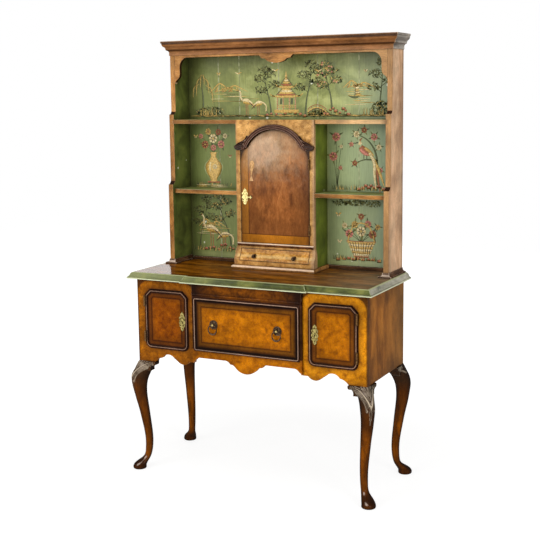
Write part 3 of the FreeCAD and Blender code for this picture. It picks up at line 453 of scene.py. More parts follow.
@dataclass(frozen=True)
class Fade:
    """Change of colour along one axis, with a cloudy edge, in millimetres."""

    axis: str
    start: float
    end: float
    tone: str  # the colour that it changes to
    cover: float  # how far that colour covers
    cloud: float = 0.5  # how cloudy the edge is
    size: float = 26.0  # size of those clouds

    def lay(self, add: Add, spot: Socket, base: Node) -> Node:
        """Colour with this change laid over it.

        Args:
            add: Adds a node to the material.
            spot: Place of each point.
            base: The colour so far.

        Returns:
            The new colour.
        """
        along = add("SeparateXYZ", spot).outputs[self.axis]
        noise = add("TexNoise", Vector=spot, Scale=per(self.size), Detail=4.0, Roughness=0.6)
        level = add("MapRange", along, self.start * MM, self.end * MM, -0.5 * self.cloud,
                    1 - 0.5 * self.cloud, clamp=False)
        cloudy = add("Math:MULTIPLY_ADD", noise, self.cloud, level, use_clamp=True)
        amount = add("Math:MULTIPLY", cloudy, self.cover)
        return add("MixRGB", amount, base, self.tone)


@dataclass(frozen=True)
class Facing:
    """Change of colour on the surfaces that face one way, used to paint highlights and shade on
    them.
    """

    way: tuple[float, float, float]
    start: float  # cosine of the angle to it at which the change starts
    end: float  # cosine at which it is complete
    tone: str
    cover: float

    def lay(self, add: Add, spot: Socket, base: Node) -> Node:
        """Colour with this change laid over it.

        Args:
            add: Adds a node to the material.
            spot: Place of each point.
            base: The colour so far.

        Returns:
            The new colour.
        """
        turned_to = add("VectorMath:DOT_PRODUCT", spot.node.outputs["Normal"],
                        tuple(Vector(self.way).normalized())).outputs["Value"]
        amount = add("MapRange", turned_to, self.start, self.end, 0.0, self.cover)
        return add("MixRGB", amount, base, self.tone)


@dataclass(frozen=True)
class Finish:
    """Name and tones of a wood or a paint."""

    name: str  # the material's name
    pale: str
    middle: str
    dark: str

    def variant(self, name: str, *tones: str, **changes: object) -> "Finish":
        """The same finish in other tones.

        Args:
            name: The new name.
            tones: Its pale, middle and dark tones, where they change.
            changes: Other fields that change.

        Returns:
            The new finish.
        """
        return replace(self, name=name, **dict(zip(("pale", "middle", "dark"), tones)), **changes)


@dataclass(frozen=True)
class Wood(Finish):
    """Polished veneer or board: figure, grain, dark eyes, painted shade with soiling in the
    corners, rubbed edges with painted highlights.
    """

    grain: Grain = Grain.BURR
    figure: float = 24.0  # size of the mottling in millimetres
    streak: float = 2.6  # width of the grain's streaks, coarser than real so that they show
    eyes: float = 0.0  # how strongly the burr's dark eyes show
    rough: float = 0.34
    coat: float = 0.09  # weight of the clear polish on top
    shine: float = 0.0  # specular level of the wood under it
    worn: str = "#c98a5a"  # colour of the rubbed edges and of their painted highlights
    wear: float = 0.35  # how strongly the edges are rubbed and painted with highlights
    grime: float = 0.85  # how strongly the corners are darkened by painted shade and soiling
    crest: float = 0.0  # how far the tops of a carving are rubbed and given a painted highlight, in the colour of the rubbed edges
    ridge: float = 0.55  # share of the carving's height at which those tops start
    fades: tuple[Fade | Facing, ...] = ()
    panels: tuple[Panel, ...] = ()

    def build(self, add: Add, spot: Socket) -> None:
        """Adds the nodes of this wood.

        Args:
            add: Adds a node to the material.
            spot: Place of each point.
        """
        size, long = self.figure * MM, self.grain.value
        warp = add("TexNoise", Vector=spot, Scale=0.6 / size, Detail=3.0)
        bend = add("VectorMath:MULTIPLY_ADD", warp.outputs["Color"], (0.7 * size,) * 3, spot)
        stretched = add("VectorMath:DIVIDE", bend, tuple(math.sqrt(one) for one in long))
        mottle = add("TexNoise", Vector=stretched, Scale=1 / size, Detail=7.0,
                     Roughness=0.68, Distortion=0.3)
        base = add("ValToRGB", mottle,
                   stops=((0.3, self.dark), (0.5, self.middle), (0.7, self.pale)))
        if self.eyes:
            cells = add("TexVoronoi", Vector=bend, Scale=per(11))
            patch = add("TexNoise", Vector=spot, Scale=per(45), Detail=1.0)
            pip = add("MapRange", cells, 0.08, 0.24, self.eyes, 0.0)
            where = add("MapRange", patch, 0.48, 0.6, 0.0, 1.0)
            base = add("MixRGB", add("Math:MULTIPLY", pip, where), base, self.dark)
        for layer in (*self.fades, *self.panels):
            base = layer.lay(add, spot, base)
        lines = add("VectorMath:DIVIDE", bend, tuple(self.streak * MM * one for one in long))
        fibre = add("TexNoise", Vector=lines, Scale=1.0, Detail=4.0, Roughness=0.7)
        shade = add("MapRange", fibre, 0.3, 0.72, 0.66, 1.22)
        dark_spread = add("TexNoise", Vector=spot, Scale=per(130), Detail=2.0)
        depth = add("MapRange", dark_spread, 0.35, 0.62, 0.7, 1.14)
        base = add("VectorMath:SCALE", base, Scale=add("Math:MULTIPLY", shade, depth))
        # The carving's tops, rubbed and given a painted highlight
        if self.crest:
            relief = add("Attribute", attribute_name="relief").outputs["Fac"]
            tops = add("MapRange", relief, self.ridge, 1.0, 0.0, self.crest)
            base = add("MixRGB", tops, base, self.worn)
        # Rubbed edges with painted highlights, and painted shade with soiling in the corners
        base = age_light_and_shade(add, spot, base, self.worn, self.wear, self.grime)
        gloss = add("MapRange", mottle, 0.3, 0.7, self.rough - 0.05, self.rough + 0.08)
        finish_with(add, fibre, 0.2, 0.12, Base_Color=base, Roughness=gloss,
                    Specular_IOR_Level=self.shine, Coat_Weight=self.coat, Coat_Roughness=0.12)


def age_light_and_shade(add: Add, spot: Socket, base: Node, worn: str, wear: float, grime: float,
         reach: float = 9.0) -> Node:
    """Adds rubbed edges with painted highlights, and painted shade with soiling in corners, to a
    colour.

    Args:
        add: Adds a node to the material.
        spot: Place of each point.
        base: The colour so far.
        worn: Colour of the rubbed edges and of their painted highlights.
        wear: How strongly the edges are rubbed and painted with highlights.
        grime: How strongly the corners are darkened.
        reach: How far the painted shade and soiling reach from a corner, in millimetres.

    Returns:
        The colour with these added.
    """
    patch = add("TexNoise", Vector=spot, Scale=per(22), Detail=4.0)
    # Rubbed pale edges, partly painted highlights
    edge = add("AmbientOcclusion", inside=True, samples=6, Distance=2.2 * MM)
    rubbed = add("MapRange", edge.outputs["AO"], 0.35, 0.85, 1.0, 0.0)
    uneven = add("MapRange", patch, 0.35, 0.65, 0.3 * wear, wear)
    base = add("MixRGB", add("Math:MULTIPLY", rubbed, uneven), base, worn)
    # Painted shade and soiling in the corners, from ambient occlusion
    corner = add("AmbientOcclusion", samples=6, Distance=reach * MM)
    hollow_dark = add("MapRange", corner.outputs["AO"], 0.3, 0.95, grime, 0.0)
    return add("MixRGB", hollow_dark, base, SHADE_AND_GRIME_TONE)


@dataclass(frozen=True)
class OldPaint(Finish):
    """Old oil paint on boards: cloudy, brushed, chipped to the ground, with painted shade and
    soiling in the corners.
    """

    brush: Grain = Grain.ALONG_Z  # the way the brush went
    joints: tuple[float, ...] = ()  # x of the joints between boards, where the paint has cracked
    chips: float = 0.5  # how many chips of white ground show
    worn: str = "#b9b98a"  # colour of the rubbed edges and of their painted highlights
    wear: float = 0.5
    dark_spread: float = 60.0  # how far the painted shade and soiling of the corners reach, in millimetres
    grime: float = 0.5
    fades: tuple[Fade | Panel, ...] = ()

    def build(self, add: Add, spot: Socket) -> None:
        """Adds the nodes of this paint.

        Args:
            add: Adds a node to the material.
            spot: Place of each point.
        """
        cloud = add("TexNoise", Vector=spot, Scale=per(90), Detail=6.0, Roughness=0.62,
                    Distortion=0.4)
        base = add("ValToRGB", cloud,
                   stops=((0.33, self.dark), (0.5, self.middle), (0.66, self.pale)))
        for layer in self.fades:
            base = layer.lay(add, spot, base)
        hairs = add("VectorMath:DIVIDE", spot, tuple(3 * MM * one for one in self.brush.value))
        strokes = add("TexNoise", Vector=hairs, Scale=1.0, Detail=5.0, Roughness=0.65)
        shade = add("MapRange", strokes, 0.3, 0.7, 0.82, 1.16)
        base = add("VectorMath:SCALE", base, Scale=shade)
        across = add("SeparateXYZ", spot)
        breaks = add("TexNoise", Vector=spot, Scale=per(28), Detail=3.0)
        for place in self.joints:
            away = add("Math:COMPARE", across, place, 2.6 * MM)
            part = add("MapRange", breaks, 0.42, 0.56, 0.25, 1.0)
            base = add("MixRGB", add("Math:MULTIPLY", away, part), base, "#cfd0a4")
        cells = add("TexVoronoi", Vector=spot, Scale=per(75))
        ragged = add("Math:MULTIPLY_ADD", breaks, -0.05, cells)
        chip = add("Math:LESS_THAN", ragged, 0.06 * self.chips)
        base = add("MixRGB", chip, base, "#e4e4cc")
        # Rubbed edges with painted highlights, and painted shade with soiling in the corners
        base = age_light_and_shade(add, spot, base, self.worn, self.wear, self.grime, self.dark_spread)
        gloss = add("MapRange", cloud, 0.3, 0.7, 0.38, 0.52)
        finish_with(add, strokes, 0.35, 0.2, Base_Color=base, Roughness=gloss,
                    Specular_IOR_Level=0.2)


@dataclass(frozen=True)
class OldMetal:
    """Old cast or rolled metal: bright where it is rubbed, dull in its hollows."""

    name: str
    bright: str
    dull: str  # colour of its tarnish
    rough: float = 0.3  # roughness where it is rubbed
    tarnish: float = 0.5  # how much of it is dull

    def build(self, add: Add, spot: Socket) -> None:
        """Adds the nodes of this metal.

        Args:
            add: Adds a node to the material.
            spot: Place of each point.
        """
        cloud = add("TexNoise", Vector=spot, Scale=per(6), Detail=5.0, Roughness=0.65)
        amount = add("MapRange", cloud, 0.38, 0.62, 0.0, self.tarnish)
        base = add("MixRGB", amount, self.bright, self.dull)
        hollow = add("AmbientOcclusion", samples=6, Distance=3 * MM)
        hollow_dark = add("MapRange", hollow.outputs["AO"], 0.25, 0.9, 0.85, 0.0)
        base = add("MixRGB", hollow_dark, base, "#171208")
        gloss = add("MapRange", cloud, 0.35, 0.65, self.rough, self.rough + 0.25)
        finish_with(add, cloud, 0.3, 0.1, Base_Color=base, Metallic=1.0, Roughness=gloss)


@dataclass(frozen=True)
class RaisedPaint:
    """Thick oil paint of a painted motif, rubbed thin in places."""

    name: str
    tone: str
    shade: str

    def build(self, add: Add, spot: Socket) -> None:
        """Adds the nodes of this paint.

        Args:
            add: Adds a node to the material.
            spot: Place of each point.
        """
        cloud = add("TexNoise", Vector=spot, Scale=per(7), Detail=4.0, Roughness=0.7)
        base = add("ValToRGB", cloud, stops=((0.38, self.shade), (0.56, self.tone)))
        finish_with(add, cloud, 0.4, 0.2, Base_Color=base, Roughness=0.5)


AnyFinish = Wood | OldPaint | OldMetal | RaisedPaint


@cache
def material_of(finish: AnyFinish) -> Material:
    """The one material of a finish, built when it is first asked for.

    Args:
        finish: The finish.

    Returns:
        Its material.
    """
    material = bpy.data.materials.new(finish.name)
    add = new_tree(material)
    finish.build(add, add("TexCoord").outputs["Object"])
    return material


def dress(node: str, name: str, body: str, slot: str, easing: float, finish: AnyFinish,
          *others: tuple[AnyFinish, Test]) -> Shape:
    """Copies a node of the frame, gives it its finishes and seats it.

    Args:
        node: The node's name.
        name: The piece's name.
        body: The body that it moves with.
        slot: The material slot, which is not used.
        easing: Width of its eased edges in millimetres.
        finish: Its finish.
        others: Finishes of some faces, each with a test of a face's normal and middle.

    Returns:
        The finished piece.
    """
    shape = from_frame(node, name, easing)
    shape.data.materials.append(material_of(finish))
    for index, (other, test) in enumerate(others, 1):
        shape.data.materials.append(material_of(other))
        for face in shape.data.polygons:
            if test(face.normal, face.center):
                face.material_index = index
    return seat(shape, body, slot, node)


# Burr walnut veneer, French polished: amber, finely clouded, with small dark eyes
BURR = Wood("burr_walnut_veneer", "#d2800a", "#b26606", "#784004", eyes=0.75)
# The same burr on the right bay, bleached golden by daylight
BRIGHT_BURR = BURR.variant("bright_burr_veneer", "#f2a21c", "#d68810", "#8a4c0a")
# The same burr on the left bay, kept darker and redder
DEEP_BURR = BURR.variant("deep_burr_veneer", "#bc7214", "#945408", "#552c06")
# The left door's burr, the reddest and deepest of all
RED_BURR = BURR.variant("red_burr_veneer", "#a65a06", "#8a4403", "#582603")
# Burr cut pale and golden, on the face of the cupboard
GOLDEN_BURR = BURR.variant("golden_burr_veneer", "#e6b46c", "#c4904e", "#7a4c20", worn="#f0cfa0",
                           wear=0.6)
# Straight walnut boards faded pinkish by daylight, on the outside of the hutch
FADED_WALNUT = Wood(
    "faded_walnut_board", "#e6c29c", "#d9ae88", "#bd906a", Grain.ALONG_Z, 46, rough=0.42,
    worn="#e8cdb0", wear=0.6,
    fades=(Fade("Y", 95, 50, "#9c7248", 0.7), Fade("Y", 200, 235, "#6e4c30", 0.8)))
# Straight walnut of the hutch's frieze, shelf edges and uprights
WARM_WALNUT = Wood("warm_walnut_board", "#d29c5c", "#ac763e", "#66401c", Grain.ALONG_X, 34,
                   worn="#ecc898", wear=0.8, grime=1.0)
# Walnut of the hutch's foot, dark, with a painted highlight on its upper round
FOOT_WALNUT = WARM_WALNUT.variant(
    "walnut_foot_mouldings", "#7e583c", "#583a24", "#301d10", worn="#e4cdb6", wear=1.0,
    fades=(Facing((0, -1, 1), 0.8, 0.97, "#e8d2bc", 0.75),))
# Walnut edges in shadow, painted dark brown as their shadow
SHADOW_WALNUT = WARM_WALNUT.variant("grimy_walnut_edge", "#4a2c18", "#2c180c", "#180c06")
# Solid walnut of the legs, dark with old polish, darker over the upper shafts, knees and feet;
# painted shade darkens the sides turned from the front, leaving the shafts orange in front, and
# painted glints light the insteps and the upper bulges of the knees
LEG_WALNUT = Wood(
    "dark_walnut_legs", "#a05606", "#743c04", "#2e1604", Grain.ALONG_Z, 40, rough=0.24, coat=0.07,
    worn="#d8c6ac", wear=0.4, crest=0.8, grime=1.0,
    fades=(Fade("Z", 230, 350, "#40200a", 0.7), Fade("Z", 380, 440, "#35281a", 0.7),
           Fade("Z", 70, 25, "#241206", 0.75), Facing((0.35, -0.94, 0), 0.92, 0.4, "#1c0f07", 0.85),
           Facing((0.1, -0.8, 0.6), 0.975, 0.997, "#d6c2b2", 0.6)))
# Walnut of the base's sides, with upright streaks and a paler back edge
SIDE_WALNUT = Wood(
    "walnut_side_boards", "#b07028", "#8c541a", "#5c3410", Grain.ALONG_Z, 50, worn="#b08a6c",
    wear=0.5, fades=(Fade("Y", -60, 220, "#8a5f2c", 0.75), Fade("Z", 560, 505, "#54320f", 0.6)))
# Dark cross-cut walnut of the hood, with pinkish painted highlights on its rubbed edges and carved
# crests
DARK_WALNUT = Wood(
    "dark_walnut_mouldings", "#3e2216", "#28140c", "#140904", Grain.ALONG_X, 22, rough=0.28,
    coat=0.12, worn="#c8a48c", wear=0.2, crest=0.45, ridge=0.8, grime=1.0)
# Walnut of the cornice, dulled by dust, with bands of painted shade in its hollows
DUSTY_SHADED_WALNUT = Wood(
    "dusty_walnut_cornice", "#c88c54", "#96623a", "#442816", Grain.ALONG_X, 40, rough=0.45,
    worn="#c8a684", wear=0.7, grime=1.0, fades=(Fade("X", -150, -560, "#5c3414", 0.5),),
    panels=(Panel((0, 0), (9000, 1926), (
        (0, "#bca288", 0.8), (3, "#70502f", 0.6), (5, "#331c0d", 0.85), (14, "#432612", 0.8),
        (19, "#a06a38", 0.3), (33, "#a06a38", 0.1), (39, "#341c0c", 0.9), (44, "#482a14", 0.75),
        (49, "#a06e42", 0.5), (64, "#b88254", 0.5)), 0, wander=0.5),))
# The cornice's end, greyer than its front, with painted shade on its undersides
GREY_WALNUT = DUSTY_SHADED_WALNUT.variant(
    "grey_cornice_end", "#d2cabf", "#b0a79b", "#5a5046", grain=Grain.ALONG_Y, panels=(),
    fades=(Facing((1, 0, -1), 0.8, 0.95, "#3c3028", 0.5),))
# Top of figured walnut, dark, streaked along its length and highly polished, with a paler grey
# painted reflection towards its right end and darker towards its front edge
TOP_WALNUT = Wood(
    "polished_walnut_top", "#b4701a", "#74430a", "#261303", Grain.ALONG_X, 46, rough=0.24,
    coat=0.2, eyes=0.3, grime=0.9,
    fades=(Fade("X", 180, 560, "#8c7a60", 0.65), Fade("Y", -200, -258, "#3c2208", 0.6)))
# Mahogany of the cupboard door: red brown with an upright flame, bloomed at its head, where the
# pale bloom is partly a painted sheen
MAHOGANY = Wood(
    "mahogany_door", "#bc783e", "#935628", "#562e14", Grain.FLAME, 26, rough=0.36,
    worn="#d8b088", wear=0.7,
    fades=(Fade("Z", 1330, 1100, "#7c4a22", 0.5), Fade("Z", 1300, 1500, "#b08a66", 0.75, 1.7, 24),
           Fade("X", -126, -128, "#4a2812", 0.7, 0.1), Fade("X", -130, -132, "#b87628", 0.8, 0.1),
           Fade("Z", 1068, 1066, "#4a2812", 0.6, 0.1), Fade("Z", 1064, 1062, "#d2841e", 0.8, 0.1),
           Fade("X", 70, 178, "#59361c", 0.5, 0.8), Fade("Z", 1078, 1016, "#4c2c12", 0.5, 0.8)))
# Plain oak of the parts that don't show
OAK = Wood("plain_oak", "#a67f4e", "#967042", "#7c5b35", Grain.ALONG_X, 40, rough=0.6, coat=0.0,
           wear=0.1)
# Oak round the drawer, painted dark as the shade in the gaps beside it
SHADED_OAK = OAK.variant("stained_oak", "#54361e", "#3c2414", "#24150b")
# Green paint of the planks, with painted light making it paler to the right and below the upper
# shelf, painted shade making it darker to the left, along the left edge, towards the top and over
# the left bays, and bluer near the right side and over the right bays
BACK_GREEN = OldPaint(
    "old_green_back_paint", "#b2b674", "#8e9452", "#636934", chips=0.9, worn="#c4c898",
    fades=(Fade("Z", 1566, 1550, "#b8c082", 0.65, 0.2), Fade("X", -40, -440, "#747b3e", 0.7),
           Fade("X", 200, 440, "#b0ba90", 0.75), Fade("X", 410, 466, "#66786a", 0.5, 0.9),
           Fade("Z", 1764, 1810, "#454e2a", 0.45, 0.9), Fade("X", -450, -515, "#323a1c", 0.5, 0.9),
           *(Panel((x, 1248), (163, 307), ((0, tone, 0.0), (14, tone, cover)), 4, wander=5)
             for x, tone, cover in ((-352, "#5a6a2c", 0.5), (352, "#7c9478", 0.35)))))
# Green paint of the shelves, brushed along them, with a pale front line and painted shade to the
# left
SHELF_GREEN = OldPaint(
    "old_green_shelf_paint", "#a2a868", "#7e8648", "#555c2c", Grain.ALONG_X, worn="#c4c898",
    fades=(Fade("X", -40, -440, "#72783c", 0.6), Fade("Y", 90, 80, "#dfe2b8", 0.6, 0.2)))
# Darker green inside the hutch's sides: painted shade
SHADED_SIDE_GREEN = OldPaint("old_green_side_paint", "#727a38", "#59632c", "#40471e", worn="#8f9458",
                      wear=0.3, grime=0.7)
# Bluer green on the cupboard's sides, painted darker as their shade
SHADED_CUPBOARD_GREEN = OldPaint("old_green_cupboard_paint", "#78862f", "#667324", "#485416",
                          worn="#7f8450", wear=0.3, grime=0.7)
# Pale lines along the edge's two arrises: rubbed paint and painted highlights
EDGE_LINES = (Fade("Z", 907, 908.5, "#b4b886", 0.7, 0.2),
              Fade("Z", 887, 885.5, "#d6dab4", 0.85, 0.2))
# Dark green of the worktop's edge, rubbed pale along its two arrises, where the pale lines are also
# painted highlights
EDGE_GREEN = OldPaint(
    "old_green_edge_paint", "#7c7c3c", "#525824", "#2e3412", Grain.ALONG_X, chips=0.2,
    worn="#d4d8ac", wear=0.7, dark_spread=7, grime=0.8,
    fades=(Fade("X", 0, -560, "#94986c", 0.6), *EDGE_LINES))
# The same edge on its right end, greyer with a painted reflection
EDGE_REFLECTION = EDGE_GREEN.variant("grey_green_edge_paint", "#b2ae9c", "#96927e", "#5c5e4a",
                               brush=Grain.ALONG_Y, fades=EDGE_LINES)
# Cast brass, lacquered once and now pale and a little green
PALE_BRASS = OldMetal("pale_cast_brass", "#b8a868", "#3c3414", tarnish=0.9)
# Cast brass kept bright, on the cupboard
BRIGHT_BRASS = OldMetal("bright_cast_brass", "#dccb8a", "#6e6030", tarnish=0.8)
# Brass gone brown, of the ring pulls and the small knobs
BROWN_BRASS = OldMetal("browned_brass", "#665240", "#100a07", 0.24, tarnish=0.95)
# Brass of the hinges, worn and dirty
HINGE_BRASS = OldMetal("hinge_brass", "#7c5c38", "#2c1c0e", 0.45, tarnish=0.8)
# Steel of the lock cases, bolts and screws
STEEL = OldMetal("old_steel", "#8f8c86", "#4d4944", 0.35)


class Paint(Enum):
    """Paints of the motifs, in the order in which they are laid, and the pale mark on the door."""

    DARK = RaisedPaint("motif_dark", "#565c2e", "#3e4622")
    OLIVE = RaisedPaint("motif_olive", "#7c7838", "#59602c")
    RUST = RaisedPaint("motif_rust", "#b0683a", "#7c4628")
    PINK = RaisedPaint("motif_pink", "#e0907a", "#b0604c")
    GOLD = RaisedPaint("motif_gold", "#e4ba62", "#a8843c")
    CREAM = RaisedPaint("motif_cream", "#f4e2ae", "#cca866")
    LINES = RaisedPaint("motif_fine_lines", "#4a3a20", "#33281a")
    INLAY = RaisedPaint("pale_wood_inlay", "#d4a468", "#a8763e")


DARK, OLIVE, RUST, PINK, GOLD, CREAM, LINES, INLAY = Paint


# Carving

@dataclass(frozen=True)
class Rib:
    """One raised rib of a carving, in millimetres."""

    path: tuple[Point, ...]  # up to four control points of a curve, or more to follow one by one
    width: Point  # half its width at the start and at the end
    height: Point  # its height at the start and at the end

    def line(self, steps: int = 14) -> Array:
        """Points along the rib.

        Args:
            steps: How many points a curve gets.

        Returns:
            One row for each point.
        """
        points = np.array(self.path, float)
        if len(points) > 4:
            return points
        degree = len(points) - 1
        t = np.linspace(0, 1, steps)[:, None]
        return sum(math.comb(degree, i) * t ** i * (1 - t) ** (degree - i) * points[i]
                   for i in range(degree + 1))

    def mirrored(self) -> "Rib":
        """The same rib on the other side of the middle."""
        return replace(self, path=tuple((-a, b) for a, b in self.path))

    def raise_over(self, a: Array, b: Array, height: Array) -> Array:
        """Height of a carving with this rib added.

        Args:
            a: First coordinate of each point.
            b: Second coordinate of each point.
            height: The height so far.

        Returns:
            The new height, below zero outside the ribs.
        """
        line = self.line()
        for i in range(len(line) - 1):
            way = line[i + 1] - line[i]
            t = np.clip(((a - line[i, 0]) * way[0] + (b - line[i, 1]) * way[1]) / (way @ way), 0, 1)
            away = np.hypot(a - line[i, 0] - t * way[0], b - line[i, 1] - t * way[1])
            share = (i + t) / (len(line) - 1)
            width, crest = (first + (last - first) * share
                            for first, last in (self.width, self.height))
            height = np.maximum(height, crest * (1 - (away / width) ** 2))
        return height


def arc(centre: Point, radii: Point, angles: Point, width: Point, height: Point,
        steps: int = 24) -> Rib:
    """Rib along an arc or a volute.

    Args:
        centre: Middle of the arc.
        radii: Its radius at the start and at the end.
        angles: Its angles in degrees at the start and at the end.
        width: Half the rib's width at the start and at the end.
        height: The rib's height at the start and at the end.
        steps: How many pieces it is drawn in.

    Returns:
        The rib.
    """
    path = []
    for i in range(steps + 1):
        radius, angle = (start + (end - start) * i / steps for start, end in (radii, angles))
        turn = math.radians(angle)
        path.append((centre[0] + radius * math.cos(turn), centre[1] + radius * math.sin(turn)))
    return Rib(tuple(path), width, height)


def carved(name: str, low: Point, high: Point, ribs: Sequence[Rib], place: Place, sink: float,
           step: float = 0.9) -> Shape:
    """Carving cut in relief on a surface, in millimetres.

    Args:
        name: The object's name.
        low: Lowest coordinates of the carving.
        high: Highest coordinates.
        ribs: The ribs.
        place: Turns coordinates and heights into rows of x, y, z in metres.
        sink: How far its border dips under the surface.
        step: Distance between its vertices.

    Returns:
        The carving, open at its back, with its border under the surface.
    """
    across, along = (int((high[i] - low[i]) / step) for i in (0, 1))
    shape = primitive(name, bpy.ops.mesh.primitive_grid_add, x_subdivisions=across,
                      y_subdivisions=along, size=1, location=(0, 0, 0))
    a, b = (low[i] + (read_points(shape)[:, i] + 0.5) * (high[i] - low[i]) for i in (0, 1))
    height = np.full(a.shape, -sink)
    for rib in ribs:
        height = rib.raise_over(a, b, height)
    write_points(shape, place(a, b, np.maximum(height, -sink)))
    crown = max(max(rib.height) for rib in ribs)
    relief = shape.data.attributes.new("relief", "FLOAT", "POINT")
    relief.data.foreach_set("value", np.clip(height / crown, 0, 1).astype(np.float32))
    flat = height <= -0.999 * sink
    with editing(shape, "FACE", [all(flat[list(face.vertices)]) for face in shape.data.polygons]):
        bpy.ops.mesh.delete(type="FACE")
    take(shape)
    bpy.ops.object.shade_smooth()
    return shape


@dataclass
class CarvedKnee:
    """Acanthus leaf carved on a knee and the scrolls on the ears beside it, in millimetres."""

    right: int  # sign of x of the leg's corner
    front: int  # sign of the corner's side in depth, -1 at the front
    full: bool  # whether the knee has its leaf, as well as its scrolls
    reach: float = 86.0  # how far the carving runs along the carcase's faces
    leaf_drop: float = 155.0  # how far the leaf hangs down
    scroll_drop: float = 45.0
    step: float = 0.9  # distance between its vertices
    sink: float = 0.7
    start: float = 120.0  # where the rays that feel for the surface start

    def ribs(self) -> list[Rib]:
        """The ribs of the right half, their mirror images and the middle ones.

        Returns:
            The ribs, in distances from the corner along its two faces and in height.
        """
        rows = [
            (((74, 12), (73.9, 12.1)), (3.4, 3.4), (4.5, 4.5)),
            (((76, 3), (62, 3), (50, 5), (38, 12)), (3, 4), (3.2, 3)),
            (((66, 20), (54, 18), (44, 24), (34, 36)), (3.2, 3.5), (2.6, 3))]
        middle = []
        if self.full:
            rows += [
                (((60, 9), (38, 12), (24, 34), (7, 68)), (5, 8), (4, 5.5)),
                (((7, 66), (3, 76), (2, 86)), (8, 4), (5.5, 4)),
                (((52, 26), (40, 40), (24, 56), (21, 88)), (5, 4), (3.2, 3.6)),
                (((21, 88), (20.9, 93)), (4.2, 4.2), (5, 5)),
                (((34, 24), (26, 40), (16, 52), (12, 74)), (3.5, 3), (3, 4)),
                (((30, 6), (20, 14), (10, 26), (4, 46)), (3.5, 3), (2.8, 2.4)),
                (((16, 4), (11, 16), (5, 30)), (3.5, 2.5), (2.4, 2)),
                (((7, 94), (9, 102), (6, 110)), (2.6, 2.2), (2.8, 2.2)),
                (((4.5, 118), (6, 124), (3.5, 130)), (2, 1.8), (2.2, 1.8))]
            middle = [
                (((0, 2), (0, 30)), (5, 3), (1.6, 2.2)), (((0, 70), (0, 88)), (8, 5), (5.4, 4)),
                (((0, 92), (0, 112)), (4.6, 3), (4.2, 3)),
                (((0, 116), (0, 131)), (3.6, 2.2), (3.4, 2.4)),
                (((0, 135), (0, 146)), (2.8, 1.6), (2.6, 1.6)),
                (((0, 150), (0, 151)), (1.8, 1.8), (2, 2))]
        half, centre = ([Rib(tuple((a, -drop) for a, drop in path), width, height)
                         for path, width, height in table] for table in (rows, middle))
        half.append(arc((74, -12), (10, 1.5), (90, 576), (3.4, 2), (4, 3)))
        return half + [rib.mirrored() for rib in half] + centre

    def build(self, surface: BVHTree, corner: Vector, name: str) -> Shape:
        """Carving laid on the knee.

        Args:
            surface: The surface of the leg and its ears.
            corner: Corner of the carcase over the leg, at its underside.
            name: The object's name.

        Returns:
            The carving.
        """
        out = Vector((self.right, self.front, 0)).normalized()
        across = Vector((out.y, -out.x, 0))
        low = (-self.reach, -self.leaf_drop if self.full else -self.scroll_drop)
        high = (self.reach, 1.0)
        columns, rows = (int((high[i] - low[i]) / self.step) for i in (0, 1))
        depth = np.full((columns + 1, rows + 1), np.nan)
        for i in range(columns + 1):
            along = (low[0] + (high[0] - low[0]) * i / columns) * MM
            foot = corner + across * (along * DIAGONAL) + out * self.start * MM
            for j in range(rows + 1):
                foot.z = corner.z + (low[1] + (high[1] - low[1]) * j / rows) * MM
                hit = surface.ray_cast(foot, -out)[0]
                if hit is not None:
                    depth[i, j] = (hit - corner).dot(out)
        bare = np.isnan(depth)
        depth = np.where(bare, -1.0, depth)
        ease = depth.copy()
        for _ in range(3):
            near = np.pad(ease, 1, mode="edge")
            blur = (near[:-2, 1:-1] + near[2:, 1:-1] + near[1:-1, :-2] + near[1:-1, 2:]) / 4
            ease = np.where(bare, depth, np.maximum(depth, blur))
        bare = np.pad(bare, 1, mode="edge")
        bare = bare[:-2, 1:-1] | bare[2:, 1:-1] | bare[1:-1, :-2] | bare[1:-1, 2:]

        def place(a: Array, b: Array, height: Array) -> Array:
            """Points of the carving, far behind where there is no wood under it.

            Args:
                a: Distance of each point across the knee.
                b: Its height over the corner.
                height: Its height over the wood.

            Returns:
                Rows of x, y, z in metres.
            """
            i, j = (np.rint((value - low[k]) / (high[k] - low[k]) * count).astype(int)
                    for k, value, count in ((0, a, columns), (1, b, rows)))
            forward = np.where(bare[i, j], -9.0, ease[i, j] + height * MM)
            side = a * MM * DIAGONAL
            return np.stack([corner.x + out.x * forward + across.x * side,
                             corner.y + out.y * forward + across.y * side,
                             corner.z + b * MM], axis=1)

        shape = carved(name, low, high, self.ribs(), place, self.sink, self.step)
        spots = read_points(shape)
        lost = (spots[:, 0] - corner.x) * out.x + (spots[:, 1] - corner.y) * out.y < -0.5
        with editing(shape, "VERT", lost):
            bpy.ops.mesh.delete(type="VERT")
        face_towards(shape, out)
        shape.data.materials.append(material_of(LEG_WALNUT))
        return seat(shape, "root", "polished_walnut")


